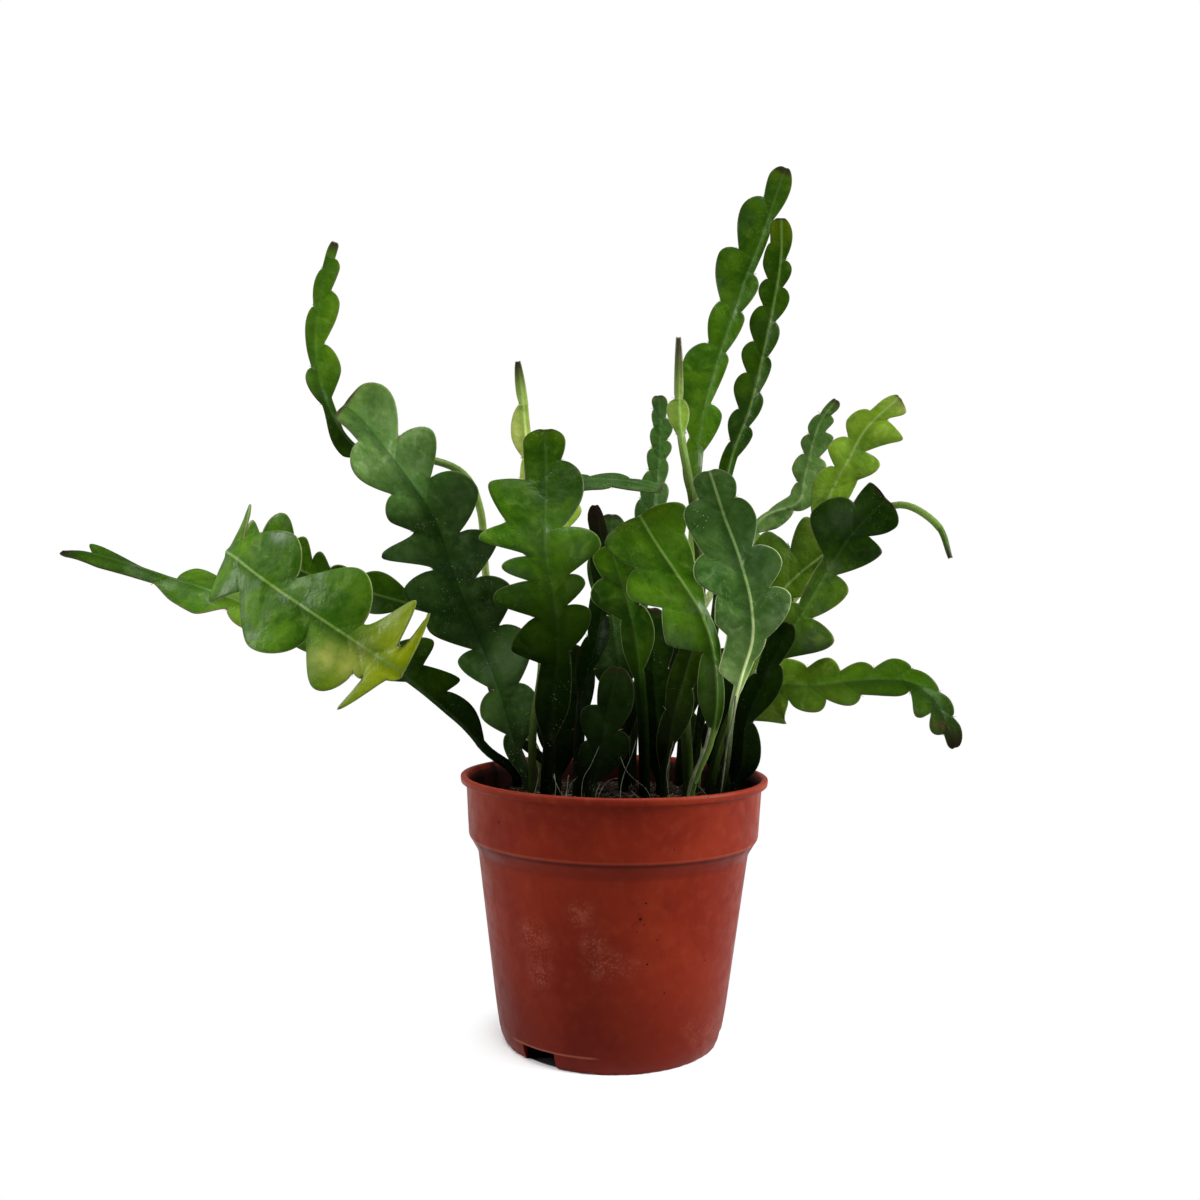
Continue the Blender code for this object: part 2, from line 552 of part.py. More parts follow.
def edge_knots(stem, marks):
    """Peaks and notches of one edge, tip first, each as (distance back, reach, point, lean)."""
    knots = [(0.0, TIP_HALF, *PLAIN_MARK)]
    knots += [(*mark, *PLAIN_MARK[len(mark) - 2:]) for mark in marks]
    knots.append((knots[-1][0] + TAPER_LENGTH, stem.stalk * WIDE_CORNER, *PLAIN_MARK))
    return knots


def edge_at(knots, back):
    """Reach of an edge at a distance back from the tip, and how far towards the tip its point lies."""
    if back >= knots[-1][0]:
        return knots[-1][1], LOBE_LEAN * knots[-1][1]
    index = 0
    while knots[index + 1][0] < back:
        index += 1
    (start, reach, point, lean), (end, next_reach, next_point, next_lean) = knots[index], knots[index + 1]
    turn = (back - start) / (end - start) * math.pi / 2
    if reach > next_reach:
        share = 1 - max(0.0, math.cos(turn)) ** (FALL_ROUND * point)
    else:
        share = math.sin(turn) ** (RISE_ROUND * next_point)
    reach += (next_reach - reach) * share
    return reach, LOBE_LEAN * reach + lean + (next_lean - lean) * share


def stations(left, right, length):
    """Distances back from the tip at which the stem has a ring: at the peaks, at the notches and between."""
    wanted = [0.0]
    for knots in (left, right):
        for (start, first, _, _), (end, second, _, _) in zip(knots, knots[1:]):
            middle = FALL_MIDDLE if first > second else RISE_MIDDLE
            wanted += [start + middle * (end - start), end]
            if second > first + BIG_RISE:
                wanted.append(start + BIG_RISE_START * (end - start))
    place = max(left[-1][0], right[-1][0]) + STALK_STEP
    above_soil = length - ROOT_LENGTH
    while place < above_soil:
        wanted.append(place)
        place += STALK_STEP
    kept = []
    for back in sorted(wanted):
        if back < above_soil - SMALLEST_STEP and (not kept or back - kept[-1] > SMALLEST_STEP):
            kept.append(back)
    return kept + [above_soil, length]


def section(stem, left, right, back, place, direction, facing):
    """Six corners round the stem: a hexagon on the stalk, and a thin rib-backed blade among the lobes."""
    side = direction.cross(facing).normalized()
    normal = side.cross(direction).normalized()
    corner = stem.stalk * WIDE_CORNER
    reach_left, lean_left = edge_at(left, back)
    reach_right, lean_right = edge_at(right, back)
    widest = max(reach_left, reach_right)
    bladed = min(1.0, max(0.0, (widest - corner) / corner))
    near_tip = min(1.0, back / RIB_SWELL_LENGTH)
    if back < left[-1][0] or back < right[-1][0]:
        bladed = max(bladed, 1 - near_tip)
    rib = RIB_HALF_AT_TIP + (stem.stalk - RIB_HALF_AT_TIP) * near_tip
    rib *= 1 - bladed + BLADE_RIB_SHARE * bladed
    edge = stem.stalk * HALF_CORNER * (1 - bladed) + EDGE_HALF * bladed
    left_edge = (place - side * reach_left + direction * lean_left
                 + normal * stem.cup * (reach_left / CUP_REACH) ** 2 * bladed)
    right_edge = (place + side * reach_right + direction * lean_right
                  + normal * stem.cup * (reach_right / CUP_REACH) ** 2 * bladed)
    return (left_edge + normal * edge, place + normal * rib, right_edge + normal * edge,
            right_edge - normal * edge, place - normal * rib, left_edge - normal * edge)


def add_blade_faces(shape, ring, following):
    """Joins two rings. Both faces of the blade are split along the same diagonals, edge to next rib."""
    for edge, rib in ((0, 1), (2, 1), (3, 4), (5, 4)):
        shape.faces.new((ring[edge], ring[rib], following[rib]))
        shape.faces.new((ring[edge], following[rib], following[edge]))
    for upper, lower in ((2, 3), (0, 5)):
        shape.faces.new((ring[upper], ring[lower], following[lower]))
        shape.faces.new((ring[upper], following[lower], following[upper]))


def make_stem(stem, parts):
    points = smooth_route(stem)
    lengths = running_lengths(points)
    length = lengths[-1]
    left = edge_knots(stem, stem.left)
    right = edge_knots(stem, stem.right)
    shape = bmesh.new()
    rings = []
    for back in reversed(stations(left, right, length)):
        place, direction = point_at(points, lengths, length - back)
        if back >= length - ROOT_LENGTH:
            direction = Vector((0, 0, 1))
        facing = facing_at(stem, 1 - back / length)
        corners = section(stem, left, right, back, place, direction, facing)
        rings.append([shape.verts.new(corner * MM) for corner in corners])
    for ring, following in zip(rings, rings[1:]):
        add_blade_faces(shape, ring, following)
    shape.faces.new(rings[0])
    shape.faces.new(rings[-1])
    bmesh.ops.recalc_face_normals(shape, faces=shape.faces)
    made = object_from_bmesh(stem.name, shape, parts, material(stem.name + "_green", stem.colour, 0.4))
    made.data.shade_smooth()
    made.data.set_sharp_from_angle(angle=SHARP_ANGLE)
    return made


def build():
    clear_scene()
    parts = new_collection("potted_fishbone_cactus")
    make_pot(parts)
    make_soil(parts)
    for stem in STEMS:
        make_stem(stem, parts)


build()
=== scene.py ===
"""Looks of the potted fishbone cactus: fine lobed stems, moulded pot, crumbly peat, soft light and camera.

Lengths are in millimetres until a mesh is made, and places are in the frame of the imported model.
"""

import bisect
import math
import random
from collections import namedtuple

import bmesh
import bpy
import numpy as np
from mathutils import Matrix, Vector, noise


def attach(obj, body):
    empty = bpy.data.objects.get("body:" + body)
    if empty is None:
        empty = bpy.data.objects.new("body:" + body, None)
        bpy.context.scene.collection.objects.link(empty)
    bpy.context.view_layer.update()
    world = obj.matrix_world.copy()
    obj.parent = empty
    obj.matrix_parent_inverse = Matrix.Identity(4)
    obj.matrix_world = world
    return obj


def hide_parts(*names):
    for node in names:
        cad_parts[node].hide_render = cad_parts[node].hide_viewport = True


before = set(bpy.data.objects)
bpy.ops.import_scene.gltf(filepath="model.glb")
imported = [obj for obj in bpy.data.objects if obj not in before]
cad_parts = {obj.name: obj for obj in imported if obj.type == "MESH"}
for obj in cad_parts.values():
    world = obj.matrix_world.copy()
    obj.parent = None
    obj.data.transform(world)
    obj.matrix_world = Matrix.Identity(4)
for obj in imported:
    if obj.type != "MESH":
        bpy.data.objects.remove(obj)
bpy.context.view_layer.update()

MM = 0.001
SEED = 11

# Camera: its place and the photograph's focal length, both read from the pot's edges, and its slight roll
IMAGE_SIZE = 1200
FOCAL_PIXELS = 1196.5
SENSOR_MM = 36.0
CAMERA_PLACE = (-6.5, -472.0, 171.0)
CAMERA_ROLL = 0.014

# Studio, in metres: each light's place, aim, width, height and power, and how bright the surroundings are as
# light, from in front of the plant to behind it
LIGHTS = {
    "top_light": ((0.0, -0.25, 1.15), (0, 0, 0.15), 0.8, 0.6, 12.0),
    "left_light": ((-1.02, -0.30, 0.60), (0, 0, 0.15), 0.5, 0.9, 14.0),
    "right_light": ((1.02, -0.22, 0.55), (0, 0, 0.12), 0.5, 0.9, 30.0),
}
WORLD_FRONT = (-0.75, 0.05)
WORLD_BACK = (0.55, 0.40)
FLOOR_RADIUS = 4.0
FLOOR_SIDES = 96
# Painted shade on the floor: radii of the dark disc where the pot covers it
FLOOR_SHADE_RADII = (0.0405, 0.0395)
FLOOR_FADE = (0.041, 0.058)
# Colour of the painted shade under the pot
FLOOR_PAINTED_SHADE = (0.004, 0.003, 0.003)
FLOOR_PALE = ((0.93, 0.93, 0.93), (0.95, 0.95, 0.95))

# Pot: radii and heights of its turned outline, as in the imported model
POT_SIDES = 168
POT_WALL = 1.4
POT_HEIGHT = 102.6
LIP_RADIUS = 60.3
LIP_DEPTH = 3.2
LIP_WIDTH = 2.6
LIP_ROUND = 1.3
COLLAR_TOP_RADIUS = 57.8
COLLAR_FOOT_RADIUS = 56.6
COLLAR_FOOT_Z = 79.3
COLLAR_ROUND = 0.8
STEP_RADIUS = 52.9
STEP_Z = 73.6
WALL_FOOT_RADIUS = 45.0
WALL_FOOT_Z = 13.5
HEEL_RADIUS = 43.4
HEEL_Z = 4.0
FOOT_RADIUS = 41.6
FOOT_WIDTH = 1.5
BASE_PLATE_Z = 6.8
PAD_RADIUS = 20.0
NOTCH_SIZE = (10.0, 15.0, 2 * 6.3)
NOTCH_AZIMUTHS = (231.5, 351.5, 111.5)
DRAIN_RADIUS = 4.0
DRAIN_RING_RADIUS = 31.0
DRAIN_COUNT = 6
DRAIN_SIDES = 32
DRAIN_SPARE = 0.002
ARC_STEPS = 4
LONGEST_ROUNDING = 0.45
FOOT_RAGGED = 0.35
RAGGED_DENSITY = 0.35
RAGGED_SHARE = 0.3
SHARP_ANGLE = math.radians(40)

# Pot's paint: pale scuffs, pits and creases at (x, y, z, radius) in millimetres. The rest is in metres: where
# its inside starts at the wall and under the base, for the painted shade in there, and bands of painted
# highlight and painted shade at the collar's foot, given as the heights between which each rises and fades,
# its strength and its colour
SCUFFS = ((-29, -40, 49, 11), (-27, -40, 36, 9), (-12, -49, 60, 8), (-7, -49, 49, 8), (-4, -48, 42, 9))
CREASED = ((-28, -32, 7, 18), (-15, -39, 7, 16))
PITS = ((9.3, -50.4, 58.5, 1.1), (12.1, -47.3, 41.8, 0.8), (31, -34.4, 19.6, 0.8), (-42, -39, 90, 0.9),
        (11.2, -50.4, 64.3, 0.7), (8.0, -50.0, 54, 0.7), (10.6, -49.4, 56.5, 0.6), (45.5, -23.5, 49, 1.1))
COLLAR_SLOPE = 0.06
INSIDE_WALL = 0.0512
INSIDE_FOOT = 0.0412
INSIDE_EDGE = 0.0002
INSIDE_SHADE_BAND = (0.084, 0.088, 0.0995, 0.1025)
CREASE_BAND = (0.0060, 0.0064, 0.0067, 0.0072)
POT_LIGHT_AND_SHADE_BANDS = (
    # painted highlight along the collar's foot edge
    ((0.0788, 0.0792, 0.0796, 0.0801), 0.35, (0.26, 0.040, 0.020)),
    # painted shade in the corner below it
    ((0.0768, 0.0780, 0.0784, 0.0788), 0.75, (0.026, 0.002, 0.001)),
    # painted shade on the underside of the step
    ((0.0715, 0.0735, 0.0770, 0.0780), 0.30, (0.060, 0.003, 0.001)),
)
POT_SHADE = (0.108, 0.0072, 0.0015)
POT_RED = (0.146, 0.0130, 0.0032)
POT_SPECK = (0.180, 0.024, 0.008)
POT_STAIN = (0.070, 0.004, 0.001)
# Painted shade: the colour the pot darkens to towards its foot
POT_LOW_SHADE = (0.055, 0.003, 0.001)
POT_SCUFF = (0.34, 0.12, 0.08)
POT_LIP = (0.32, 0.07, 0.045)
POT_PIT = (0.010, 0.003, 0.002)
# Painted shade inside the pot's wall
POT_INSIDE_SHADE = (0.014, 0.0018, 0.0010)
POT_CREASE = (0.30, 0.11, 0.07)
# Painted shade under the pot's base
POT_BENEATH_SHADE = (0.004, 0.0010, 0.0006)

# Soil: where it meets the wall, its mound and how rough it is. Then the crumbs and fibres on it, with the
# least and the most of each size, and a dark and a light colour for each material. Soil grains are (height,
# layer of noise, density).
SOIL_SIDES = 220
SOIL_RING_STEP = 0.85
SOIL_GAP = 0.3
SOIL_EDGE_Z = 91.0
SOIL_MOUND = 2.5
LUMP_HEIGHT = 1.1
LUMP_DENSITY = 0.09
SOIL_GRAINS = ((0.55, 7, 0.75), (0.3, 3, 1.7))
CRUMB_COUNT = 520
CRUMB_SIZES = (0.35, 1.5)
CRUMB_POWER = 1.3
CRUMB_STRETCH = (0.6, 1.3)
CRUMB_LUMPS = (0.75, 1.2)
FIBRE_COUNT = 190
FIBRE_LIMIT = 50
FIBRE_REACH = (3, 11)
FIBRE_LIFT = (0.2, 2.4)
FIBRE_RADII = (0.09, 0.2)
FIBRE_STRAY = 0.22
FIBRE_STEPS = 6
THREAD_SIDES = 4
PEAT_FLECK = (0.05, 0.026, 0.013)
PEAT_COLOURS = ((0.0045, 0.0026, 0.0018), (0.026, 0.0145, 0.009))
CRUMB_COLOURS = ((0.008, 0.0045, 0.003), (0.042, 0.024, 0.014))
FIBRE_COLOURS = ((0.020, 0.011, 0.006), (0.12, 0.08, 0.045))

# Aerial roots: places along each, from where it leaves its stem to its end, and its thickness there. A web of
# finer ones hangs above the peat, in a box of least and most x and y.
AERIAL_ROOTS = (
    (((46, -27, 143), (44, -31, 136), (43, -33, 129), (41, -34, 120), (40, -33, 110), (39, -31, 100),
      (38, -30, 92)), 0.36),
    (((35, -27, 124), (33, -30, 117), (30, -32, 110), (27, -33, 100), (26, -33, 91)), 0.6),
    (((2, -20, 112), (4, -27, 108), (7, -30, 105), (12, -33, 101), (15, -36, 92)), 0.11),
    (((8, -18, 118), (6, -26, 113), (3, -30, 106), (2, -34, 100), (3, -37, 92)), 0.11),
    (((-6, -22, 116), (-9, -29, 110), (-12, -33, 104), (-12, -36, 92)), 0.11),
    (((22, -20, 118), (20, -28, 112), (19, -32, 106), (21, -36, 92)), 0.11),
)
ROOT_COLOURS = ((0.008, 0.010, 0.003), (0.050, 0.054, 0.020))
ROOT_TAPER = 0.45
ROOT_STEPS = 6
ROOT_SIDES = 6
WEB_COUNT = 12
WEB_BOX = (-30, 34, -38, -12)
WEB_DROP = (4, 16)
WEB_SWAY = ((-9, 9), (-7, 4))
WEB_RADII = (0.1, 0.2)
WEB_STRAY = 0.3
WEB_STEPS = 8

# Stems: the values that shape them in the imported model
ROOT_FLOOR_Z = 80.0
SOIL_TOP_Z = 95.5
ROOT_LENGTH = SOIL_TOP_Z - ROOT_FLOOR_Z
EDGE_HALF = 0.42
TIP_HALF = 0.9
RIB_HALF_AT_TIP = 0.75
RIB_SWELL_LENGTH = 40.0
BLADE_RIB_SHARE = 0.75
CUP_REACH = 10.0
WIDE_CORNER = math.cos(math.radians(30))
LOBE_LEAN = 0.25
FALL_ROUND = 0.95
RISE_ROUND = 0.6
PLAIN_MARK = (1, 0)
TAPER_LENGTH = 14.0
CURVE_STEPS = 40

# Stems: their fine form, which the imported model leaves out. Rings lie closest at the tip, and shares are how
# far out from the midrib a ring's points lie. A blade's relief grows from a narrow reach to a wide one.
SPAN_STEPS = 9
BLADE_STEP = 1.6
STALK_STEP = 3.0
SMALLEST_STEP = 0.16
TIP_RINGS = (0.0, 0.15, 0.4, 0.8, 1.3)
SHARES = (0, 0.05, 0.11, 0.2, 0.33, 0.5, 0.67, 0.82, 0.92, 0.975, 1.0)
NARROW_REACH = 4.0
WIDE_REACH = 12.0
THINNEST_HALF = 0.3
EDGE_ROUND = 0.55
EDGE_FLOOR = 0.004
RIB_FALL = 1.4
RIDGE_HEIGHT = 0.34
RIDGE_HALF_WIDTH = 1.0
TROUGH_DEPTH = 0.22
TROUGH_PLACE = 2.9
TROUGH_HALF_WIDTH = 1.3
PUFF_HEIGHT = 0.42
PUFF_WIDTH = 3.2
PUFF_ROUND = 1.5
VEIN_SLANT = 0.75
VEIN_SETBACK = 2.0
VEIN_STEP = 0.3
NO_VEIN = 20.0
WAVE_HEIGHT = 0.9
WAVE_LENGTH = 27.0

# Tufts in the notches: three bristles and a woolly knob in each
TUFT_SETBACK = 0.25
BRISTLE_COUNT = 3
BRISTLE_LENGTHS = (0.8, 1.5)
BRISTLE_RADII = (0.16, 0.09, 0.03)
KNOB_BELOW = 0.35
KNOB_ABOVE = 0.45
KNOB_RADII = (0.08, 0.26, 0.32, 0.26, 0.08)
WOOL_COLOURS = ((0.11, 0.075, 0.035), (0.33, 0.27, 0.15))

# A stem's root is (x, y) on the soil, and its cup is how far its blade bends forward. Its route runs from
# above the soil to the tip, and facing holds the directions that its face looks in, evenly spaced along it.
# An edge lists peak, notch, peak and so on from the tip, each as (distance back along the midrib, reach
# from the midrib). A third number above 1 draws a peak out to a point, and a fourth moves the mark towards
# the tip, in millimetres. PLAIN_MARK holds both for marks that don't give them.
VIEWER = (0, -1, 0)
Stem = namedtuple("Stem", "name colour root stalk cup route left right facing", defaults=((VIEWER,),))

LEAF_GREEN = "leaf"
GREY_GREEN = "grey"
YOUNG_GREEN = "young"
DEEP_GREEN = "deep"

STEMS = (
    Stem("far_left", LEAF_GREEN, (-40, 26), 2.0, -1.0,
         ((-53, 27, 108), (-66, 24, 122), (-93, 14, 144), (-122, 6, 157), (-157, 0, 170), (-204, 0, 185),
          (-220, 2, 187)),
         ((22, 5.5), (42, 4.5), (63, 12, 2), (72, 4), (84, 10), (96, 5), (108, 9), (124, 4.5), (134, 8)),
         ((13, 1.6), (19, 7, 1.5, 8), (34, 2.2), (48, 2), (59, 14), (76, 4), (90, 8), (106, 4), (120, 8),
          (134, 5), (144, 19, 1.3, -8), (151, 8), (157, 13, 1.3, -10), (164, 5), (175, 8)),
         (VIEWER, VIEWER, (0, -0.8, 0.5), (0, -0.6, 0.8), (0, -0.5, 0.8))),
    Stem("left_fold", LEAF_GREEN, (-24, 22), 2.0, 0.6,
         ((-44, 24, 118), (-56, 20, 150), (-67, 17, 163), (-85, 15, 169), (-120, 9, 179), (-138, 2, 187),
          (-147, -14, 187), (-139, -33, 184), (-120, -46, 172.5), (-82, -62, 150.5), (-72.8, -65.6, 145.5)),
         ((3, 22, 3, -3.5), (9, 6.5, 1, 1), (15, 23, 2.5), (25, 6.5), (38, 22), (57, 6.5), (69.5, 19.5),
          (88, 7), (97, 20, 2), (108, 8), (114, 14), (120, 6.5), (127, 17.5), (133, 9), (137, 12.5),
          (142, 5.6), (145.5, 9.8), (150, 4.6), (155, 7.5), (163, 5), (171, 9)),
         ((4.5, 5), (9, 22.5, 3, -8.7), (14, 9, 1, -0.5), (16, 10), (18.5, 9.5), (28.5, 21), (41, 8.5),
          (59, 22), (75, 9), (89, 19, 2), (106, 7), (119, 12), (135, 5), (144, 8), (162, 5), (170, 9)),
         ((0, 1, 0), (0, 1, 0), (0, 1, 0), (0, 1, 0.2), (-1, 0.2, 0.5), (-0.5, -1, 0.3), (0, -1, 0.1),
          (0, -1, 0.1))),
    Stem("left_tall", LEAF_GREEN, (-30, 36), 1.6, 1.0,
         ((-44, 34, 130), (-54, 32, 176), (-57, 27, 208), (-66, 23, 224), (-90, 22, 230), (-106, 22, 231),
          (-117, 22, 243), (-124, 18, 264), (-122, 12, 290), (-115, 8, 313)),
         ((5, 2), (12, 1.7), (18, 3.2), (27, 1.8), (35, 4.2), (51, 1.8), (56, 5), (66, 1.8), (87, 6, 3),
          (94, 1.6)),
         ((2, 2), (6.5, 2), (11, 5), (20, 4), (27, 8.5), (42, 3.5), (55, 10), (65, 3)),
         ((0.2, -1, 0),)),
    Stem("left_broad", GREY_GREEN, (-34, 12), 2.2, 1.0,
         ((-40, 14, 112), (-47, 14, 135), (-55, 12, 155), (-65, 7, 180), (-71, 4, 198), (-79, 1, 212),
          (-98, -5, 237), (-107, -8, 245)),
         ((2.5, 6), (16, 6.5), (28, 15.5), (41, 8.5), (51, 15.5), (60, 9.5), (71, 24.5, 2.5), (77, 7),
          (85, 21), (94, 15), (100, 17.5), (112, 4.5), (117, 12), (130, 2.5), (141, 10.5), (149, 2.5),
          (155, 5)),
         ((10, 15.5), (24, 7), (33, 19), (44, 7.5), (57, 21), (66, 7.5), (77, 21), (86, 7.5), (98, 20),
          (108, 9), (120, 19), (132, 8), (142, 14)),
         (VIEWER, VIEWER, (0.1, -1, 0.2))),
    Stem("left_spear", YOUNG_GREEN, (-32, -4), 1.6, 0.0,
         ((-32, -3, 121), (-29, 0, 147), (-31, 6, 186), (-36, 10, 225), (-39, 12, 253), (-41, 12, 267)),
         ((12, 2.4), (18, 1.5), (31, 6), (40, 2), (61, 5)),
         ((26, 2), (57, 1.8), (68, 19), (76, 5))),
    Stem("front_left", LEAF_GREEN, (-26, -18), 2.2, 1.0,
         ((-25, -18, 118), (-23, -18, 140), (-22, -21, 157), (-24, -25, 173), (-27, -29, 192),
          (-27, -26, 211), (-28, -20, 235)),
         ((8, 8.5), (22, 8), (30, 21.5), (40, 14.5), (46, 24, 2.5), (50, 7.5), (54, 17), (59, 8), (67, 22),
          (74, 8), (87, 17.5, 1, -3), (93, 6), (107, 7)),
         ((7, 7.5), (14, 5.5), (27, 14), (40, 6.5), (52, 20.5), (59, 7), (64, 12.5), (70, 4.5), (75, 13),
          (87, 4), (106, 6.5)),
         (VIEWER, VIEWER, (0, -1, 0.1))),
    Stem("level", GREY_GREEN, (-14, 14), 1.8, 0.5,
         ((-20, 15, 140), (-25, 16, 180), (-25, 18, 206), (-17, 21, 218), (0, 23, 220), (19, 24, 217)),
         ((7, 5), (15, 3.2), (21.5, 6), (31, 3.8), (37.5, 6)),
         ((14.5, 6), (23, 3.8), (29.5, 6), (41, 3.4), (47, 5)),
         ((0.3, -1, 0), (0.3, -1, 0), (0.2, -0.8, 0.6), (0, -0.6, 1))),
    Stem("dark_tip", DEEP_GREEN, (-14, -4), 2.2, 0.0,
         ((-13, -2, 135), (-7, 4, 163), (-6, 8, 185), (-9, 9, 209)),
         ((7, 4), (16, 2.6), (23, 5), (35, 3), (43, 5), (55, 3), (63, 5)),
         ((14, 4), (26, 2.8), (33, 5), (45, 3.2), (53.5, 6), (67, 3), (75, 5)),
         ((0.4, -1, 0),)),
    Stem("low_left", DEEP_GREEN, (-23, 7), 2.2, 0.6,
         ((-23, 6, 115), (-20, 6, 135), (-17, 6, 153)),
         ((6.5, 6), (14, 4.5), (19, 9), (28, 5.5), (34, 9)),
         ((13, 9), (22, 5.5), (27.5, 10), (35, 5.5), (40, 9))),
    Stem("low_middle", DEEP_GREEN, (-9, -16), 2.2, 0.6,
         ((-6, -15, 112), (-3, -13, 128), (1, -11, 145)),
         ((8.5, 6), (17, 4.5), (22.5, 10), (31, 5.5), (36, 8)),
         ((15, 9), (25, 5.5), (31, 11))),
    Stem("dark_middle", DEEP_GREEN, (19, 6), 2.2, 0.4,
         ((17, 6, 120), (15, 6, 145), (14, 4, 168)),
         ((7.5, 6), (18, 4.5), (24, 8), (35, 5.5), (42, 8), (50, 4.5), (55.5, 6)),
         ((15, 9), (26, 6), (32, 9), (44, 5.5), (51, 8))),
    Stem("grey_back", GREY_GREEN, (4, 12), 2.2, 0.6,
         ((4, 14, 130), (0, 16, 155), (-3, 18, 178), (-2, 18, 206)),
         ((6.5, 6), (17, 4.5), (23, 9), (37, 5), (44, 8), (57, 5.5), (65, 11), (74, 6), (82, 9)),
         ((14, 8), (26, 4.5), (33, 9), (47, 5), (55, 8), (70, 4), (77.5, 6))),
    Stem("inner_stalk", LEAF_GREEN, (12, -2), 2.2, 0.8,
         ((11, -4, 122), (9, -6, 144), (6, -9, 163), (1, -11, 180), (-3, -11, 192)),
         ((5.5, 8), (13, 6.5), (20.5, 13), (30, 4), (40, 5.5)),
         ((12, 9), (26, 4.5), (36.5, 8))),
    Stem("front_middle", LEAF_GREEN, (29, -16), 1.5, 1.0,
         ((36, -19, 118), (38, -21, 135), (36, -25, 152), (32, -25, 165), (25.5, -24, 176), (14, -22, 193),
          (8, -21, 203)),
         ((9, 17.5), (19, 11), (29, 20), (37, 11.5), (51, 16.5, 1, -3), (60, 3.5, 1, 1), (76, 7.5)),
         ((11, 16.5), (18, 11), (30, 7), (43, 2.8), (56, 3.2), (66, 2.2), (78, 3)),
         (VIEWER, VIEWER, (0, -1, 0.15))),
    Stem("front_right", GREY_GREEN, (40, -20), 1.2, 1.2,
         ((42, -24, 112), (43, -28, 129), (46, -32, 144), (49, -36, 157), (48, -40, 170), (44, -41, 185),
          (38, -38, 202), (33, -32, 219)),
         ((6, 7.5), (12, 6.8), (20, 14.5), (33, 12), (42, 18), (49, 11.5), (61, 14), (68, 9.5),
          (80, 9, 1, -1.5), (85, 1.6)),
         ((9, 8), (15, 6), (25, 11), (34, 6), (43, 14), (49.5, 7.5), (55, 14.5), (66, 5), (74, 2.8)),
         (VIEWER, VIEWER, (0, -1, 0.2))),
    Stem("tallest", LEAF_GREEN, (30, 8), 2.2, 0.8,
         ((28, 6, 131), (30, 7, 160), (31, 12, 195), (33, 17, 235), (37, 20, 258), (49, 22, 297),
          (57, 21, 319), (67, 18, 349)),
         ((7, 5.5), (15, 4.5), (25, 12), (39, 7), (46, 14), (61, 6.5), (69, 9), (79, 5.5), (91, 13.5),
          (118, 4), (130, 6)),
         ((10, 5), (22, 2.2), (30, 3), (45, 2.5), (51, 6.5), (62, 3), (66, 5.5), (80, 2.2), (84, 4.5),
          (102, 2.2), (109, 8), (123, 2.2)),
         (VIEWER, VIEWER, VIEWER)),
    Stem("tall_right", LEAF_GREEN, (33, 22), 2.0, 1.0,
         ((38, 18, 140), (42, 14, 180), (44, 10, 222), (53, 8, 251), (61, 8, 289), (64, 8, 309),
          (64, 8, 325)),
         ((5, 4.5), (11, 4.5), (20, 7), (26, 4), (31.5, 7), (37, 3.8), (45, 8), (52, 4.5), (58.5, 8.5),
          (65, 4.5), (72, 8.5), (80, 4), (86, 6.5), (93, 2.5), (102, 4)),
         ((8, 4.5), (17, 2), (21.5, 5), (28, 2.4), (33.5, 6), (42, 2.2), (47.5, 5), (56.5, 2.2), (61, 4.5),
          (71, 2.2), (75.5, 4.8), (85, 2.2), (89, 5), (98, 2.4))),
    Stem("pale_spear", YOUNG_GREEN, (19, -10), 1.5, 0.0,
         ((22, -12, 125), (27, -12, 144), (32, -11, 165), (32, -7, 187), (29, -3, 212), (24, -2, 240),
          (23, 0, 275)),
         ((22, 1.7), (25, 1.4), (30, 5), (39, 1.4), (120, 1.6), (138, 6), (150, 3.5), (160, 5)),
         ((22, 1.8), (25, 1.4), (31, 4), (39, 1.4), (110, 1.6), (128, 7), (140, 4), (150, 7))),
    Stem("narrow_back", GREY_GREEN, (8, 34), 1.8, 0.5,
         ((11, 36, 150), (14, 38, 197), (17, 38, 225), (18, 38, 246), (17, 36, 258)),
         ((3, 3), (6, 2.4), (9.5, 3.6), (14, 2.6), (18, 4.2), (23, 2.8), (27, 5), (33, 3.4), (41, 6.5),
          (46, 5.5), (51, 7.5), (61, 4.5), (68, 6)),
         ((4, 3.8), (10, 2.4), (15, 5.5), (19.5, 3), (23, 5.5), (27.5, 3), (32, 4.8), (37.5, 3.5), (42, 6),
          (51, 4), (59, 7))),
    Stem("far_right_small", GREY_GREEN, (22, 31), 1.6, 0.6,
         ((30, 30, 150), (42, 30, 178), (60, 32, 205), (76, 34, 213), (79, 34, 224), (84, 31, 245),
          (91, 28, 256)),
         ((5, 2), (9, 1.8), (15, 4), (18, 2.4), (22, 5), (26, 2.2), (34, 6), (38, 2), (46, 5)),
         ((3, 3), (7, 2.2), (10, 5), (15.5, 3.5), (18.5, 8), (27, 4), (31, 8), (38.5, 4), (42, 6.5),
          (50, 1.8), (63, 7), (70, 3), (78, 10))),
    Stem("far_right_young", YOUNG_GREEN, (42, 27), 1.8, 0.8,
         ((52, 25, 130), (64, 26, 160), (76, 26, 189), (89, 24, 218), (95, 22, 230), (102, 20, 243),
          (114, 14, 255)),
         ((8, 4), (13, 4), (21, 8.5), (25.5, 4), (34, 10), (38.5, 3.5), (48, 8.5)),
         ((4, 6.5, 2), (10.5, 3.5), (14.5, 14), (28, 4.5), (32.5, 12.5), (40, 7.5), (47, 8)),
         (VIEWER, VIEWER, (0, -1, 0.2))),
    Stem("right_upper", DEEP_GREEN, (44, 8), 2.2, 1.0,
         ((57, 8, 131), (64, 6, 150), (76, 2, 171), (83, 0, 184), (91, -2, 197), (98, -3, 205),
          (105, -4, 212)),
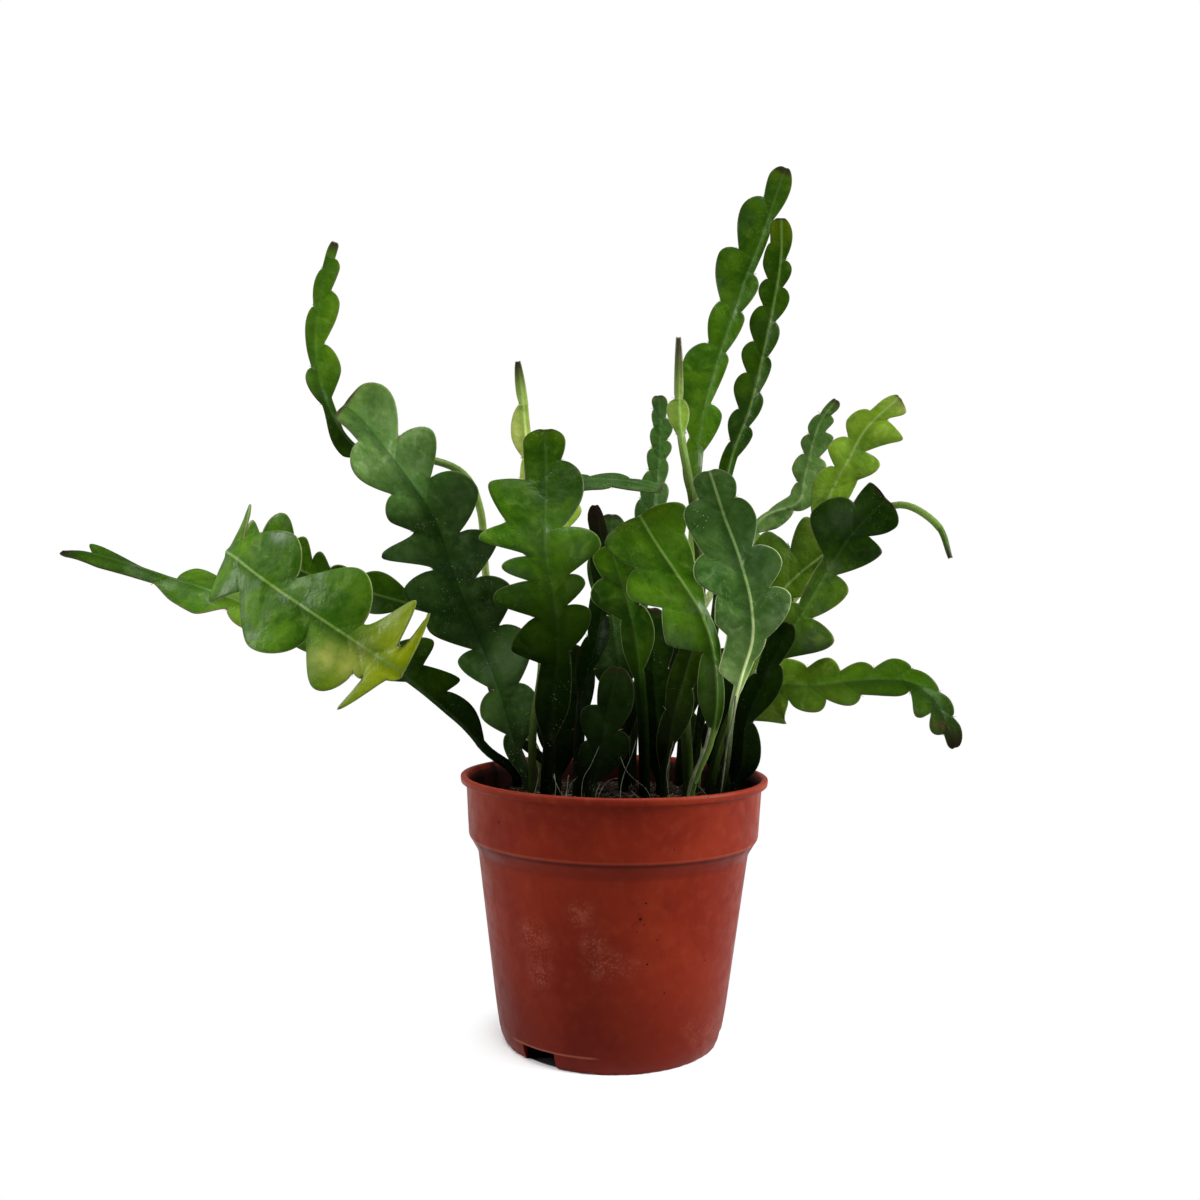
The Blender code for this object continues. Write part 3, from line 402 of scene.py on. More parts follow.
         ((3, 9.5), (12, 8), (25, 18), (33, 4), (46, 4.5), (54, 3), (64, 10)),
         ((8, 10.5), (17, 5.5), (22.5, 14), (37, 4), (43.5, 11.5), (56.5, 4.5), (63, 16.5), (77, 2.5))),
    Stem("right_young", YOUNG_GREEN, (38, 0), 2.0, 0.8,
         ((42, 1, 115), (50, 3, 135), (57, 6, 155), (65, 9, 173), (73, 12, 182), (88, 14, 194)),
         ((8, 17), (17, 10), (24.5, 22), (35, 9), (41.5, 14), (50, 6), (54, 8)),
         ((5.5, 6), (14, 4), (20.5, 11), (30, 5.5), (37, 7))),
    Stem("right_shoot", LEAF_GREEN, (36, 37), 1.5, 0.0,
         ((50, 38, 140), (74, 37, 170), (97, 36, 197), (111, 32, 210), (121, 26, 212), (131, 16, 203),
          (135, 12, 190)),
         (),
         ()),
    Stem("right_level", LEAF_GREEN, (48, 18), 2.0, 0.8,
         ((51, 19, 118), (58, 17, 132), (67, 13, 138), (79, 9, 138), (103, 0, 141), (116, -4, 140),
          (124, -8, 133), (128, -10, 124), (131, -11, 116)),
         ((8, 5), (12.5, 3.5), (17, 5.5), (22, 4), (29, 6), (33, 5.5), (39, 8.5), (46, 4.5), (51.5, 7.5),
          (59, 4.5), (65, 10.5), (74, 7), (82, 10)),
         ((3, 2.4), (7, 2.2), (11, 6.5), (17, 3.5), (22, 9.5), (31, 3), (39, 6.5), (52, 5.5), (57.5, 9.5),
          (66, 6), (71, 11), (82, 7), (93, 16, 1, -4), (105, 3)),
         ((0, -1, 0.1),)),
    Stem("right_dark", DEEP_GREEN, (46, -4), 2.2, 0.8,
         ((49, -7, 110), (50, -9, 123), (55, -9, 137), (61, -8, 150), (67, -7, 163)),
         ((12, 5), (24, 3.5), (32.5, 6), (44, 4), (52, 7)),
         ((7, 5), (17, 3.5), (27, 8), (42, 2.5), (56, 7.5))),
    Stem("back_right", DEEP_GREEN, (29, 43), 2.2, 0.3,
         ((30, 43, 118), (31, 43, 142), (31, 43, 168)),
         ((8, 6), (17, 4.5), (23, 8), (36, 5), (44, 8)),
         ((13, 8), (27, 5), (34, 8), (46, 4.5), (54, 7))),
    Stem("low_right", DEEP_GREEN, (41, 14), 2.2, 0.2,
         ((42, 14, 112), (44, 14, 132), (45, 14, 152)),
         ((7, 5), (15, 4), (21, 7), (31, 4.5), (37, 7)),
         ((12, 6), (22, 4), (28, 7), (38, 4))),
)

# How a stem differs from others of its colour. Tones say how light it is at places evenly spaced from its tip
# to its foot: its own tone together with painted light and shade. Young is how far its fresh colour reaches
# back from the tip and how strong it is there, and dry is how far the brown point reaches. Rib, rim and stalk
# say how pale these are, from 0 to 1.
Look = namedtuple("Look", "tones young dry rib rim stalk",
                  defaults=((0.9, 0.7, 0.4, 0.3), (6, 0.2), 2.0, 0.2, 0.2, 0.0))
LOOKS = {
    "far_left": Look((0.5, 0.8, 1.9, 0.8, 0.55, 0.35, 0.2), (4, 0.1), 8.0),
    "left_fold": Look((0.8, 1.25, 1.4, 1.0, 0.7, 0.5, 0.4), (22, 1.0), 0.0, 0.6, 0.4),
    "left_tall": Look((1.0, 1.6, 0.2, 0.7, 1.5, 1.7, 1.5, 0.8), (6, 0.2), 4.0, 0.1, 0.1, 0.6),
    "left_broad": Look((1.4, 1.9, 0.45, 0.5, 0.35, 1.5, 1.3, 0.4), (6, 0.1), 1.0, 0.0, 0.25),
    "left_spear": Look((0.8, 2.1, 1.5, 0.9, 0.4, 0.2), (70, 0.4), 10.0, 0.6, 0.4, 0.3),
    "front_left": Look((0.5, 0.6, 1.25, 0.5, 0.22, 0.12, 0.1, 0.1), (6, 0.1), 0.5, 0.2, 0.3),
    "front_middle": Look((0.6, 1.2, 0.95, 0.8, 0.9, 0.5), (4, 0.12), 0.0, 0.7, 0.5, 0.7),
    "front_right": Look((0.45, 0.49, 1.0, 1.8, 2.8, 0.9, 0.2, 0.12), (4, 0.3), 0.0, 1.0, 0.8, 0.1),
    "tallest": Look((0.65, 0.8, 1.1, 1.3, 1.3, 0.7, 0.4), (8, 0.2), 3.0, 0.25, 0.1, 0.4),
    "tall_right": Look((0.55, 0.48, 0.62, 0.5, 0.4, 0.3), (12, 0.4), 1.0, 0.8, 0.1, 0.1),
    "pale_spear": Look((0.9, 1.3, 0.25, 0.2, 0.2, 0.15, 0.1), (60, 0.35), 22.0, 0.5, 0.4, 0.2),
    "narrow_back": Look((1.3, 1.2, 0.6, 0.5), (4, 0.2), 1.0, 0.1),
    "far_right_small": Look((1.4, 1.9, 2.8, 2.0, 1.0), (4, 0.2), 2.0, 0.3, 0.1, 0.3),
    "far_right_young": Look((1.6, 1.3, 0.9, 0.8, 0.6), (6, 0.3), 1.0, 0.4),
    "right_upper": Look((0.6, 0.75, 3.8, 1.3, 0.8, 0.5, 0.4), (0, 0), 1.0, 0.3, 0.4),
    "right_young": Look((0.45, 0.45, 0.7, 0.3), (6, 0.3), 0.0, 0.8, 0.6),
    "right_shoot": Look((0.8, 1.2, 1.4, 1.2), (4, 0.2), 5.0, 0.3, 0.3, 0.6),
    "right_level": Look((0.45, 0.9, 1.2, 2.6, 3.0, 1.8, 0.5), (4, 0.1), 7.0, 0.1, 0.3),
    "right_dark": Look((0.3, 0.35, 0.35), (0, 0), 1.0, 0.1, 0.7),
    "dark_tip": Look((0.3, 0.35, 0.4), (0, 0), 14.0, 0.1, 0.0),
    "inner_stalk": Look((1.0, 0.75, 0.2, 0.1), (4, 0.1), 0.0, 0.2, 0.6),
}
YOUNG_FADE = 1.15
DRY_FADE = 1.2
DRY_SHARE = 0.95
LEAST_REACH = 0.1

# Blotches on the skin, beige where it is bleached and brown where it is scorched: each is (distance back from
# the tip, distance right of the midrib, radius)
BLEACHED = {"left_fold": ((19, 7, 6), (27, 11, 6))}
SCORCHED = {"right_level": ((9, 3, 3),)}
BLEACH_SHARE = (0.28, 0.7)
SCORCH_SHARE = 0.6
BEIGE = (0.26, 0.28, 0.06)
SCORCH = (0.10, 0.050, 0.006)
RIM_BROWN = (0.030, 0.022, 0.008)
DRY = (0.022, 0.014, 0.008)
# Old wood and painted shade: the dark colour the skin takes near the soil
OLD_WOOD_AND_SHADE = (0.008, 0.014, 0.004)
SPECK = (0.32, 0.40, 0.24)

# How skin darkens towards the soil, by height, as old wood and painted shade, and between the stalks, as
# painted shade, by distance from the pot's axis, in metres, and the painted sheen that tints it where it is
# light
OLD_WOOD_AND_SHADE_HEIGHTS = (0.098, 0.150)
DEEP_SHADE_HEIGHTS = (0.175, 0.100)
DEEP_SHADE_DISTANCES = (0.060, 0.044)
DEEP_SHADE = 0.45
# Painted sheen: the tint laid on where the skin is light
PAINTED_SHEEN = (1.5, 1.12, 1.6)

# Colours of a stem's skin, as linear red, green and blue, and how specked it is
Skin = namedtuple("Skin", "slot dark middle light rib rim tip specks")
SKINS = {
    LEAF_GREEN: Skin("stem_green", (0.012, 0.046, 0.001), (0.036, 0.094, 0.002), (0.076, 0.146, 0.014),
                     (0.150, 0.240, 0.050), (0.150, 0.200, 0.070), (0.200, 0.250, 0.004), 0.35),
    GREY_GREEN: Skin("stem_grey_green", (0.014, 0.046, 0.005), (0.042, 0.098, 0.016), (0.092, 0.165, 0.050),
                     (0.180, 0.270, 0.090), (0.170, 0.230, 0.100), (0.100, 0.130, 0.015), 0.7),
    YOUNG_GREEN: Skin("stem_young_green", (0.040, 0.096, 0.003), (0.086, 0.174, 0.008), (0.150, 0.250, 0.036),
                      (0.220, 0.320, 0.090), (0.220, 0.290, 0.090), (0.215, 0.215, 0.085), 0.2),
    DEEP_GREEN: Skin("stem_dark_green", (0.004, 0.015, 0.001), (0.012, 0.036, 0.001), (0.028, 0.064, 0.005),
                     (0.040, 0.085, 0.012), (0.060, 0.080, 0.030), (0.040, 0.040, 0.010), 0.25),
}


class Nodes:
    """The nodes of a material or of the world."""

    def __init__(self, owner):
        owner.use_nodes = True
        self.tree = owner.node_tree

    def add(self, kind, feeds=None, **settings):
        """Adds a node with its settings. Feeds says what goes into which of its sockets."""
        node = self.tree.nodes.new(kind)
        for key, value in settings.items():
            setattr(node, key, value)
        for socket, value in (feeds or {}).items():
            self.feed(node.inputs[socket], value)
        return node

    def feed(self, socket, value):
        if isinstance(value, bpy.types.NodeSocket):
            self.tree.links.new(value, socket)
        elif isinstance(value, tuple) and len(value) == 3 and socket.type == "RGBA":
            socket.default_value = (*value, 1.0)
        else:
            socket.default_value = value


class Recipe(Nodes):
    """A material made of nodes. Its colour starts plain and is built up coat by coat."""

    def __init__(self, name, colour):
        self.material = bpy.data.materials.new(name)
        super().__init__(self.material)
        self.shader = self.tree.nodes["Principled BSDF"]
        self.place = self.add("ShaderNodeTexCoord").outputs["Object"]
        self.colour = colour

    def noise(self, size, detail=3.0, distortion=0.0):
        """Clouds whose features are about size millimetres wide, from 0 to 1."""
        feeds = {"Vector": self.place, "Scale": 1 / (size * MM), "Detail": detail, "Distortion": distortion}
        return self.add("ShaderNodeTexNoise", feeds).outputs["Fac"]

    def dots(self, size):
        """Distance to scattered points that lie about size millimetres apart, as a share of size."""
        feeds = {"Vector": self.place, "Scale": 1 / (size * MM)}
        return self.add("ShaderNodeTexVoronoi", feeds).outputs["Distance"]

    def attribute(self, name):
        return self.add("ShaderNodeAttribute", attribute_name=name).outputs["Fac"]

    def height(self):
        return self.add("ShaderNodeSeparateXYZ", {0: self.place}).outputs["Z"]

    def from_axis(self):
        """Distance in metres from the pot's own upright axis."""
        place = self.add("ShaderNodeSeparateXYZ", {0: self.place}).outputs
        squares = [self.times(place[axis], place[axis]) for axis in "XY"]
        return self.math("POWER", self.math("ADD", *squares), 0.5)

    def near(self, spots):
        """How near a place is to any of some spots, each (x, y, z, radius) in millimetres, from 0 to 1."""
        share = 0.0
        for *middle, radius in spots:
            feeds = {0: self.place, 1: [value * MM for value in middle]}
            gap = self.add("ShaderNodeVectorMath", feeds, operation="DISTANCE").outputs["Value"]
            share = self.math("MAXIMUM", share, self.fit(gap, radius * MM, 0.0))
        return share

    def fit(self, value, low, high, to_low=0.0, to_high=1.0):
        """Eases from one number to another while value goes from low to high."""
        feeds = {"Value": value, "From Min": low, "From Max": high, "To Min": to_low, "To Max": to_high}
        return self.add("ShaderNodeMapRange", feeds, interpolation_type="SMOOTHSTEP").outputs["Result"]

    def band(self, value, start, full, fading, end):
        """1 where value lies between full and fading, and 0 below start and above end."""
        return self.times(self.fit(value, start, full), self.fit(value, end, fading))

    def math(self, operation, first, second):
        return self.add("ShaderNodeMath", {0: first, 1: second}, operation=operation).outputs[0]

    def times(self, first, second):
        return self.math("MULTIPLY", first, second)

    def mix(self, share, first, second, blend="MIX"):
        feeds = {"Factor": share, 6: first, 7: second}
        return self.add("ShaderNodeMix", feeds, data_type="RGBA", blend_type=blend).outputs[2]

    def coat(self, share, paint, blend="MIX"):
        """Lays a paint over the colour, as thick as share says."""
        self.colour = self.mix(share, self.colour, paint, blend)

    def bump(self, height, depth, under=None):
        """Relief that is depth millimetres deep where height goes from 0 to 1, on top of other relief."""
        feeds = {"Distance": depth * MM, "Height": height}
        if under is not None:
            feeds["Normal"] = under
        return self.add("ShaderNodeBump", feeds).outputs["Normal"]

    def finished(self, roughness, relief, sheen=0.5):
        """The material, once its shader has its colour, roughness, relief and sheen."""
        for name, value in (("Base Color", self.colour), ("Roughness", roughness), ("Normal", relief),
                            ("Specular IOR Level", sheen)):
            self.feed(self.shader.inputs[name], value)
        return self.material


def stem_skin(name, skin):
    """Waxy skin: pale midrib, trough in painted shade, faint veins, thin rim, specks, young tip, painted light
    and sheen.
    """
    look = Recipe("skin_" + name, skin.dark)
    look.coat(look.fit(look.noise(17.0, 4.0, 0.6), 0.32, 0.68), skin.middle)
    look.coat(look.fit(look.noise(8.0, 5.0, 1.2), 0.52, 0.78, 0.0, 0.6), skin.light)
    look.coat(look.fit(look.noise(2.6, 5.0), 0.3, 0.8, 0.0, 0.22), skin.light)
    look.coat(look.attribute("young"), skin.tip)

    from_rib = look.attribute("rib")
    # Painted shade: darker in the trough beside the midrib
    look.coat(look.fit(from_rib, 1.0, 4.5, 0.45, 0.0), skin.dark)
    rib = look.mix(look.attribute("pale_rib"), skin.dark, skin.rib)
    look.coat(look.fit(from_rib, 0.2, 0.75, 0.8, 0.0), rib)
    from_vein = look.attribute("vein")
    look.coat(look.fit(from_vein, 0.1, 0.9, 0.25, 0.0), skin.dark)

    from_rim = look.attribute("rim")
    look.coat(look.fit(from_rim, 0.4, 3.0, 0.25, 0.0), skin.dark)
    on_rim = look.fit(from_rim, 0.1, 0.5, 0.9, 0.0)
    pale_rim = look.times(look.attribute("pale_rim"), look.fit(look.noise(9.0), 0.35, 0.65, 0.4, 1.0))
    look.coat(on_rim, look.mix(pale_rim, RIM_BROWN, skin.rim))

    soft = look.fit(look.noise(7.0, 3.0), 0.25, 0.65, *BLEACH_SHARE)
    look.coat(look.times(look.attribute("bleach"), soft), BEIGE)
    ragged = look.fit(look.noise(3.0, 5.0, 0.8), 0.3, 0.6)
    look.coat(look.times(look.times(look.attribute("scorch"), ragged), SCORCH_SHARE), SCORCH)
    stalk = look.attribute("pale_stalk")
    look.coat(stalk, skin.rib)
    # Old wood and painted shade: darker towards the soil, except on pale stalks
    look.coat(look.math("SUBTRACT", look.fit(look.height(), *OLD_WOOD_AND_SHADE_HEIGHTS, 0.8, 0.0), stalk), OLD_WOOD_AND_SHADE)
    look.coat(look.attribute("dry"), DRY)

    # Painted shade between the stalks, low down and near the pot's axis
    deep = look.times(look.fit(look.height(), *DEEP_SHADE_HEIGHTS), look.fit(look.from_axis(), *DEEP_SHADE_DISTANCES))
    shade = look.math("SUBTRACT", 1.0, look.times(deep, DEEP_SHADE))
    tone = look.times(look.attribute("tone"), shade)
    # Painted light and shade: the tones, with the painted shade between the stalks, lighten or darken the
    # colour
    look.coat(1.0, tone, "MULTIPLY")
    # Painted sheen where the skin is light
    look.coat(look.fit(tone, 0.9, 2.2), PAINTED_SHEEN, "MULTIPLY")
    lit_rim = look.mix(1.0, skin.rim, look.fit(tone, 0.0, 1.2, 0.30, 1.1), "MULTIPLY")
    look.coat(look.times(on_rim, pale_rim), lit_rim)
    patches = look.fit(look.noise(14.0, 2.0), 0.5, 0.68)
    look.coat(look.times(look.fit(look.dots(1.1), 0.08, 0.18, skin.specks, 0.0), patches), SPECK)

    glossy = look.fit(look.noise(22.0, 3.0), 0.46, 0.68, 0.03, 0.24)
    fine = look.bump(look.noise(0.9, 4.0), 0.05)
    puckered = look.bump(look.noise(5.0, 3.0), 0.75, fine)
    veined = look.bump(look.fit(from_vein, 0.0, 1.3), 0.16, puckered)
    return look.finished(look.fit(look.noise(6.0, 4.0), 0.3, 0.75, 0.30, 0.46), veined,
                         look.times(glossy, look.fit(tone, 0.3, 1.0, 0.1, 1.0)))


def pot_plastic():
    """Brick-red moulded plastic: clouds, dark pits, pale scuffs, a pale line by the foot, painted highlight
    and shade.
    """
    look = Recipe("pot_plastic_fine", POT_SHADE)
    look.coat(look.fit(look.noise(38.0, 3.0, 0.4), 0.35, 0.68), POT_RED)
    look.coat(look.fit(look.noise(4.0, 6.0), 0.42, 0.8, 0.0, 0.4), POT_SPECK)
    look.coat(look.fit(look.noise(11.0, 4.0, 1.5), 0.60, 0.78, 0.0, 0.5), POT_STAIN)
    height = look.height()
    # Painted shade: darker towards the foot
    look.coat(look.fit(height, 0.0, 0.055, 0.60, 0.0), POT_LOW_SHADE)
    scuffed = look.math("ADD", look.near(SCUFFS), look.fit(look.noise(26.0, 2.0), 0.62, 0.72, 0.0, 0.5))
    grains = look.math("ADD", look.fit(look.noise(0.9, 3.0), 0.50, 0.66, 0.0, 0.22),
                       look.fit(look.noise(4.5, 4.0), 0.40, 0.66, 0.02, 0.17))
    scuffs = look.times(grains, scuffed)
    look.coat(scuffs, POT_SCUFF)
    look.coat(look.fit(height, 0.1005, 0.1027, 0.0, 0.12), POT_LIP)
    # Painted highlight and painted shade in bands at the collar's foot
    for heights, strength, paint in POT_LIGHT_AND_SHADE_BANDS:
        look.coat(look.times(look.band(height, *heights), strength), paint)
    random_pits = look.times(look.fit(look.dots(6.5), 0.045, 0.075, 0.85, 0.0),
                             look.fit(look.noise(9.0), 0.52, 0.6))
    pits = look.math("MAXIMUM", random_pits, look.fit(look.near(PITS), 0.3, 0.5))
    look.coat(pits, POT_PIT)
    from_wall = look.math("SUBTRACT", look.from_axis(), look.times(height, COLLAR_SLOPE))
    # Painted shade on the inside of the wall, below the lip
    inside_shade = look.fit(from_wall, INSIDE_WALL, INSIDE_WALL - INSIDE_EDGE)
    look.coat(look.times(inside_shade, look.band(height, *INSIDE_SHADE_BAND)), POT_INSIDE_SHADE)
    creased = look.fit(look.near(CREASED), 0.1, 0.5, 0.0, 0.35)
    look.coat(look.times(look.band(height, *CREASE_BAND), creased), POT_CREASE)
    # Painted shade inside the foot ring, under the base
    beneath_shade = look.fit(look.from_axis(), INSIDE_FOOT, INSIDE_FOOT - INSIDE_EDGE)
    look.coat(look.times(beneath_shade, look.fit(height, 0.0071, 0.0069)), POT_BENEATH_SHADE)
    grain = look.bump(look.noise(0.6, 3.0), 0.03)
    ripples = look.bump(look.noise(15.0, 2.0), 0.28, grain)
    return look.finished(look.fit(look.noise(7.0, 5.0), 0.3, 0.75, 0.36, 0.52),
                         look.bump(look.math("ADD", scuffs, pits), -0.08, ripples), 0.06)


def peat(name, dark, light):
    """Dark, fibrous peat with paler crumbs."""
    look = Recipe(name, dark)
    look.coat(look.fit(look.noise(2.2, 6.0), 0.35, 0.7), light)
    look.coat(look.fit(look.dots(2.6), 0.10, 0.2, 0.55, 0.0), PEAT_FLECK)
    rough = look.bump(look.noise(0.7, 5.0), 0.35)
    return look.finished(look.fit(look.noise(1.2), 0.3, 0.7, 0.78, 0.98),
                         look.bump(look.noise(2.6, 4.0), 0.9, rough), 0.08)


def root_fibre(name, dark, light):
    """Dry, pale root or fibre with darker stretches."""
    look = Recipe(name, dark)
    look.coat(look.fit(look.noise(5.0, 4.0), 0.35, 0.65), light)
    grain = look.bump(look.noise(0.5, 3.0), 0.06)
    return look.finished(look.fit(look.noise(1.5), 0.3, 0.7, 0.55, 0.8), grain)


def floor_material():
    """Pale floor with a dark disc of painted shade where the pot covers it, fading to plain white away from
    the pot.
    """
    look = Recipe("pale_floor", FLOOR_PALE[0])
    distance = look.add("ShaderNodeVectorMath", {0: look.place}, operation="LENGTH").outputs["Value"]
    look.coat(look.fit(look.noise(40.0), 0.3, 0.7), FLOOR_PALE[1])
    # Painted shade: dark where the pot covers the floor
    look.coat(look.fit(distance, *FLOOR_SHADE_RADII), FLOOR_PAINTED_SHADE)
    look.feed(look.shader.inputs["Base Color"], look.colour)
    look.feed(look.shader.inputs["Roughness"], 0.9)
    blend = look.add("ShaderNodeMixShader", {0: look.fit(distance, *FLOOR_FADE), 1: look.shader.outputs[0],
                                             2: look.add("ShaderNodeEmission").outputs[0]})
    look.feed(look.tree.nodes["Material Output"].inputs["Surface"], blend.outputs[0])
    return look.material


def linked_object(name, data):
    made = bpy.data.objects.new(name, data)
    bpy.context.scene.collection.objects.link(made)
    return made


def mesh_of(name, shape):
    """Turns a built shape into a mesh, and lets go of the shape."""
    mesh = bpy.data.meshes.new(name)
    shape.to_mesh(mesh)
    shape.free()
    return mesh


def new_mesh_object(name, places, faces, finish, values=None):
    """Makes a smooth mesh object from places in millimetres, with named numbers at its points."""
    mesh = bpy.data.meshes.new(name)
    mesh.from_pydata((np.asarray(places) * MM).tolist(), [], faces)
    for key, numbers in (values or {}).items():
        mesh.attributes.new(key, "FLOAT", "POINT").data.foreach_set("value", np.asarray(numbers, np.float32))
    mesh.materials.append(finish)
    mesh.shade_smooth()
    return linked_object(name, mesh)


def settle(piece, slot, *nodes):
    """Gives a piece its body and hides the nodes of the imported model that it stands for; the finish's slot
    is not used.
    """
    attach(piece, "root")
    if nodes:
        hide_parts(*nodes)


def make_group(name, shapes, finish, slot):
    """Makes one piece of several shapes, each given as its places and faces."""
    places = []
    faces = []
    for more_places, more_faces in shapes:
        start = len(places)
        places += more_places
        faces += [tuple(start + index for index in face) for face in more_faces]
    settle(new_mesh_object(name, places, faces, finish), slot)


def eased(start, end, leaving, arriving, share):
    """A point between two others, on the curve that leaves and arrives with the given slopes."""
    rise = 3 * share ** 2 - 2 * share ** 3
    early = share * (1 - share) ** 2
    late = share ** 2 * (share - 1)
    return start * (1 - rise) + end * rise + leaving * early + arriving * late


def smooth_through(places, steps, leaving=None):
    """Closely spaced points on a smooth route through some places. It leaves the first with a given slope."""
    knots = [Vector(place) for place in places]
    slopes = [knots[1] - knots[0] if leaving is None else leaving]
    slopes += [(after - before) / 2 for before, after in zip(knots, knots[2:])]
    slopes.append(knots[-1] - knots[-2])
    route = []
    for start, end, slope, next_slope in zip(knots, knots[1:], slopes, slopes[1:]):
        route += [eased(start, end, slope, next_slope, step / steps) for step in range(steps)]
    return route + [knots[-1]]


def stem_route(stem):
    """Points along the stem, from its root's foot to its tip."""
    x, y = stem.root
    knots = [(x, y, SOIL_TOP_Z), *stem.route]
    upright = Vector((0, 0, (Vector(knots[1]) - Vector(knots[0])).length))
    return [Vector((x, y, ROOT_FLOOR_Z))] + smooth_through(knots, CURVE_STEPS, upright)


def around(radius, angle):
    return radius * math.cos(angle), radius * math.sin(angle)


def running_lengths(points):
    lengths = [0.0]
    for first, second in zip(points, points[1:]):
        lengths.append(lengths[-1] + (second - first).length)
    return lengths


def point_at(points, lengths, distance):
    """The place and the direction of a route at a distance from its foot."""
    index = min(max(bisect.bisect_left(lengths, distance) - 1, 0), len(lengths) - 2)
    share = (distance - lengths[index]) / (lengths[index + 1] - lengths[index])
    before = points[max(index - 1, 0)].lerp(points[index], share)
    after = points[index + 1].lerp(points[min(index + 2, len(points) - 1)], share)
    return points[index].lerp(points[index + 1], share), (after - before).normalized()


def facing_at(stem, share):
    """The direction that the face looks in at a share of the way from foot to tip."""
    place = share * (len(stem.facing) - 1)
    index = min(int(place), max(len(stem.facing) - 2, 0))
    following = min(index + 1, len(stem.facing) - 1)
    return Vector(stem.facing[index]).lerp(Vector(stem.facing[following]), place - index)


def edge_knots(stem, marks):
    """Peaks and notches of one edge, tip first, each as (distance back, reach, point, lean)."""
    knots = [(0.0, TIP_HALF, *PLAIN_MARK)]
    knots += [(*mark, *PLAIN_MARK[len(mark) - 2:]) for mark in marks]
    knots.append((knots[-1][0] + TAPER_LENGTH, stem.stalk * WIDE_CORNER, *PLAIN_MARK))
    return knots


def edge_at(knots, back):
    """Reach of an edge at a distance back from the tip, and how far towards the tip its point lies."""
    if back >= knots[-1][0]:
        return knots[-1][1], LOBE_LEAN * knots[-1][1]
    index = 0
    while knots[index + 1][0] < back:
        index += 1
    (start, reach, point, lean), (end, next_reach, next_point, next_lean) = knots[index], knots[index + 1]
    turn = (back - start) / (end - start) * math.pi / 2
    if reach > next_reach:
        share = 1 - max(0.0, math.cos(turn)) ** (FALL_ROUND * point)
    else:
        share = math.sin(turn) ** (RISE_ROUND * next_point)
    reach += (next_reach - reach) * share
    return reach, LOBE_LEAN * reach + lean + (next_lean - lean) * share


def fine_stations(left, right, length):
    """Distances back from the tip at which the stem has a ring: closest where an edge turns most."""
    wanted = [*TIP_RINGS, length - ROOT_LENGTH, length]
    for knots in (left, right):
        for (start, first, _, _), (end, second, _, _) in zip(knots, knots[1:]):
            bunched = 2.0 if second > first else 1.0
            wanted += [start + (step / SPAN_STEPS) ** bunched * (end - start)
                       for step in range(1, SPAN_STEPS + 1)]
    blade = max(left[-1][0], right[-1][0])
    kept = [0.0]
    for back in sorted(wanted):
        step = back - kept[-1]
        if step < SMALLEST_STEP or back > length:
            continue
        parts = math.ceil(step / (BLADE_STEP if back <= blade else STALK_STEP))
        kept += [kept[-1] + step * (part + 1) / parts for part in range(parts)]
    return kept


def distance_to(u, v, outline_u, outline_v):
    """Distance from each point of the flat blade to the nearest point of an outline."""
    flat = np.stack((u.ravel(), v.ravel()), 1)
    outline = np.stack((outline_u, outline_v), 1)
    square = ((flat ** 2).sum(1)[:, None] + (outline ** 2).sum(1)[None] - 2 * flat @ outline.T)
    return np.sqrt(np.maximum(square.min(1), 0)).reshape(u.shape)


def close_line(u0, v0, u1, v1):
    """Closely spaced points along a straight line on the flat blade."""
    share = np.linspace(0, 1, max(2, int(math.hypot(u1 - u0, v1 - v0) / VEIN_STEP)))
    return u0 + (u1 - u0) * share, v0 + (v1 - v0) * share


def blotches(u, v, spots):
    """How much each point of the flat blade lies in any of some round spots, from 0 to 1."""
    share = np.zeros(u.shape)
    for back, across, radius in spots:
        share = np.maximum(share, np.exp(-((u + back) ** 2 + (v - across) ** 2) / radius ** 2))
    return share


def notches(knots):
    """The knots of one edge that lie nearer the midrib than both of their neighbours."""
    return [knot for before, knot, after in zip(knots, knots[1:], knots[2:])
            if before[1] > knot[1] < after[1]]


def distance_to_vein(u, v, left, right):
    """Distance from each point of the flat blade to the nearest vein, which leads from midrib to notch."""
    lines = []
    for knots, sign in ((left, -1), (right, 1)):
        for back, reach, _, _ in notches(knots):
            end = -back + edge_at(knots, back)[1]
            lines.append(close_line(end - VEIN_SLANT * reach - VEIN_SETBACK, 0.0, end, sign * reach))
    if not lines:
        return np.full(u.shape, NO_VEIN)
    return distance_to(u, v, *np.concatenate(lines, 1))


def ring_faces(count, loop):
    """Faces that join rings of points and close both ends. Loop is the order of the points in a ring."""
    size = len(loop)
    faces = []
    for base in range(0, (count - 1) * size, size):
        for first, second in zip(loop, loop[1:] + loop[:1]):
            faces.append((base + first, base + second, base + size + second, base + size + first))
    return faces + [tuple(loop[::-1]), tuple((count - 1) * size + index for index in loop)]


def stem_marks(stem, length, back, u, v, bladed):
    """Numbers for the skin at each point of the blade, apart from its distances to rib, rim and vein."""
    style = LOOKS.get(stem.name, Look())
    reach, strength = style.young
    tones = np.interp(back, np.linspace(0, length, len(style.tones)), style.tones)
    return {"tone": tones + 0 * u, "pale_rib": style.rib + 0 * u, "pale_rim": style.rim * bladed + 0 * u,
            "pale_stalk": style.stalk * (1 - bladed) + 0 * u,
            "young": strength * np.clip(YOUNG_FADE - -u / max(reach, LEAST_REACH), 0, 1),
            "dry": DRY_SHARE * np.clip(DRY_FADE - -u / max(style.dry, LEAST_REACH), 0, 1) * (style.dry > 0),
            "bleach": blotches(u, v, BLEACHED.get(stem.name, ())),
            "scorch": blotches(u, v, SCORCHED.get(stem.name, ()))}


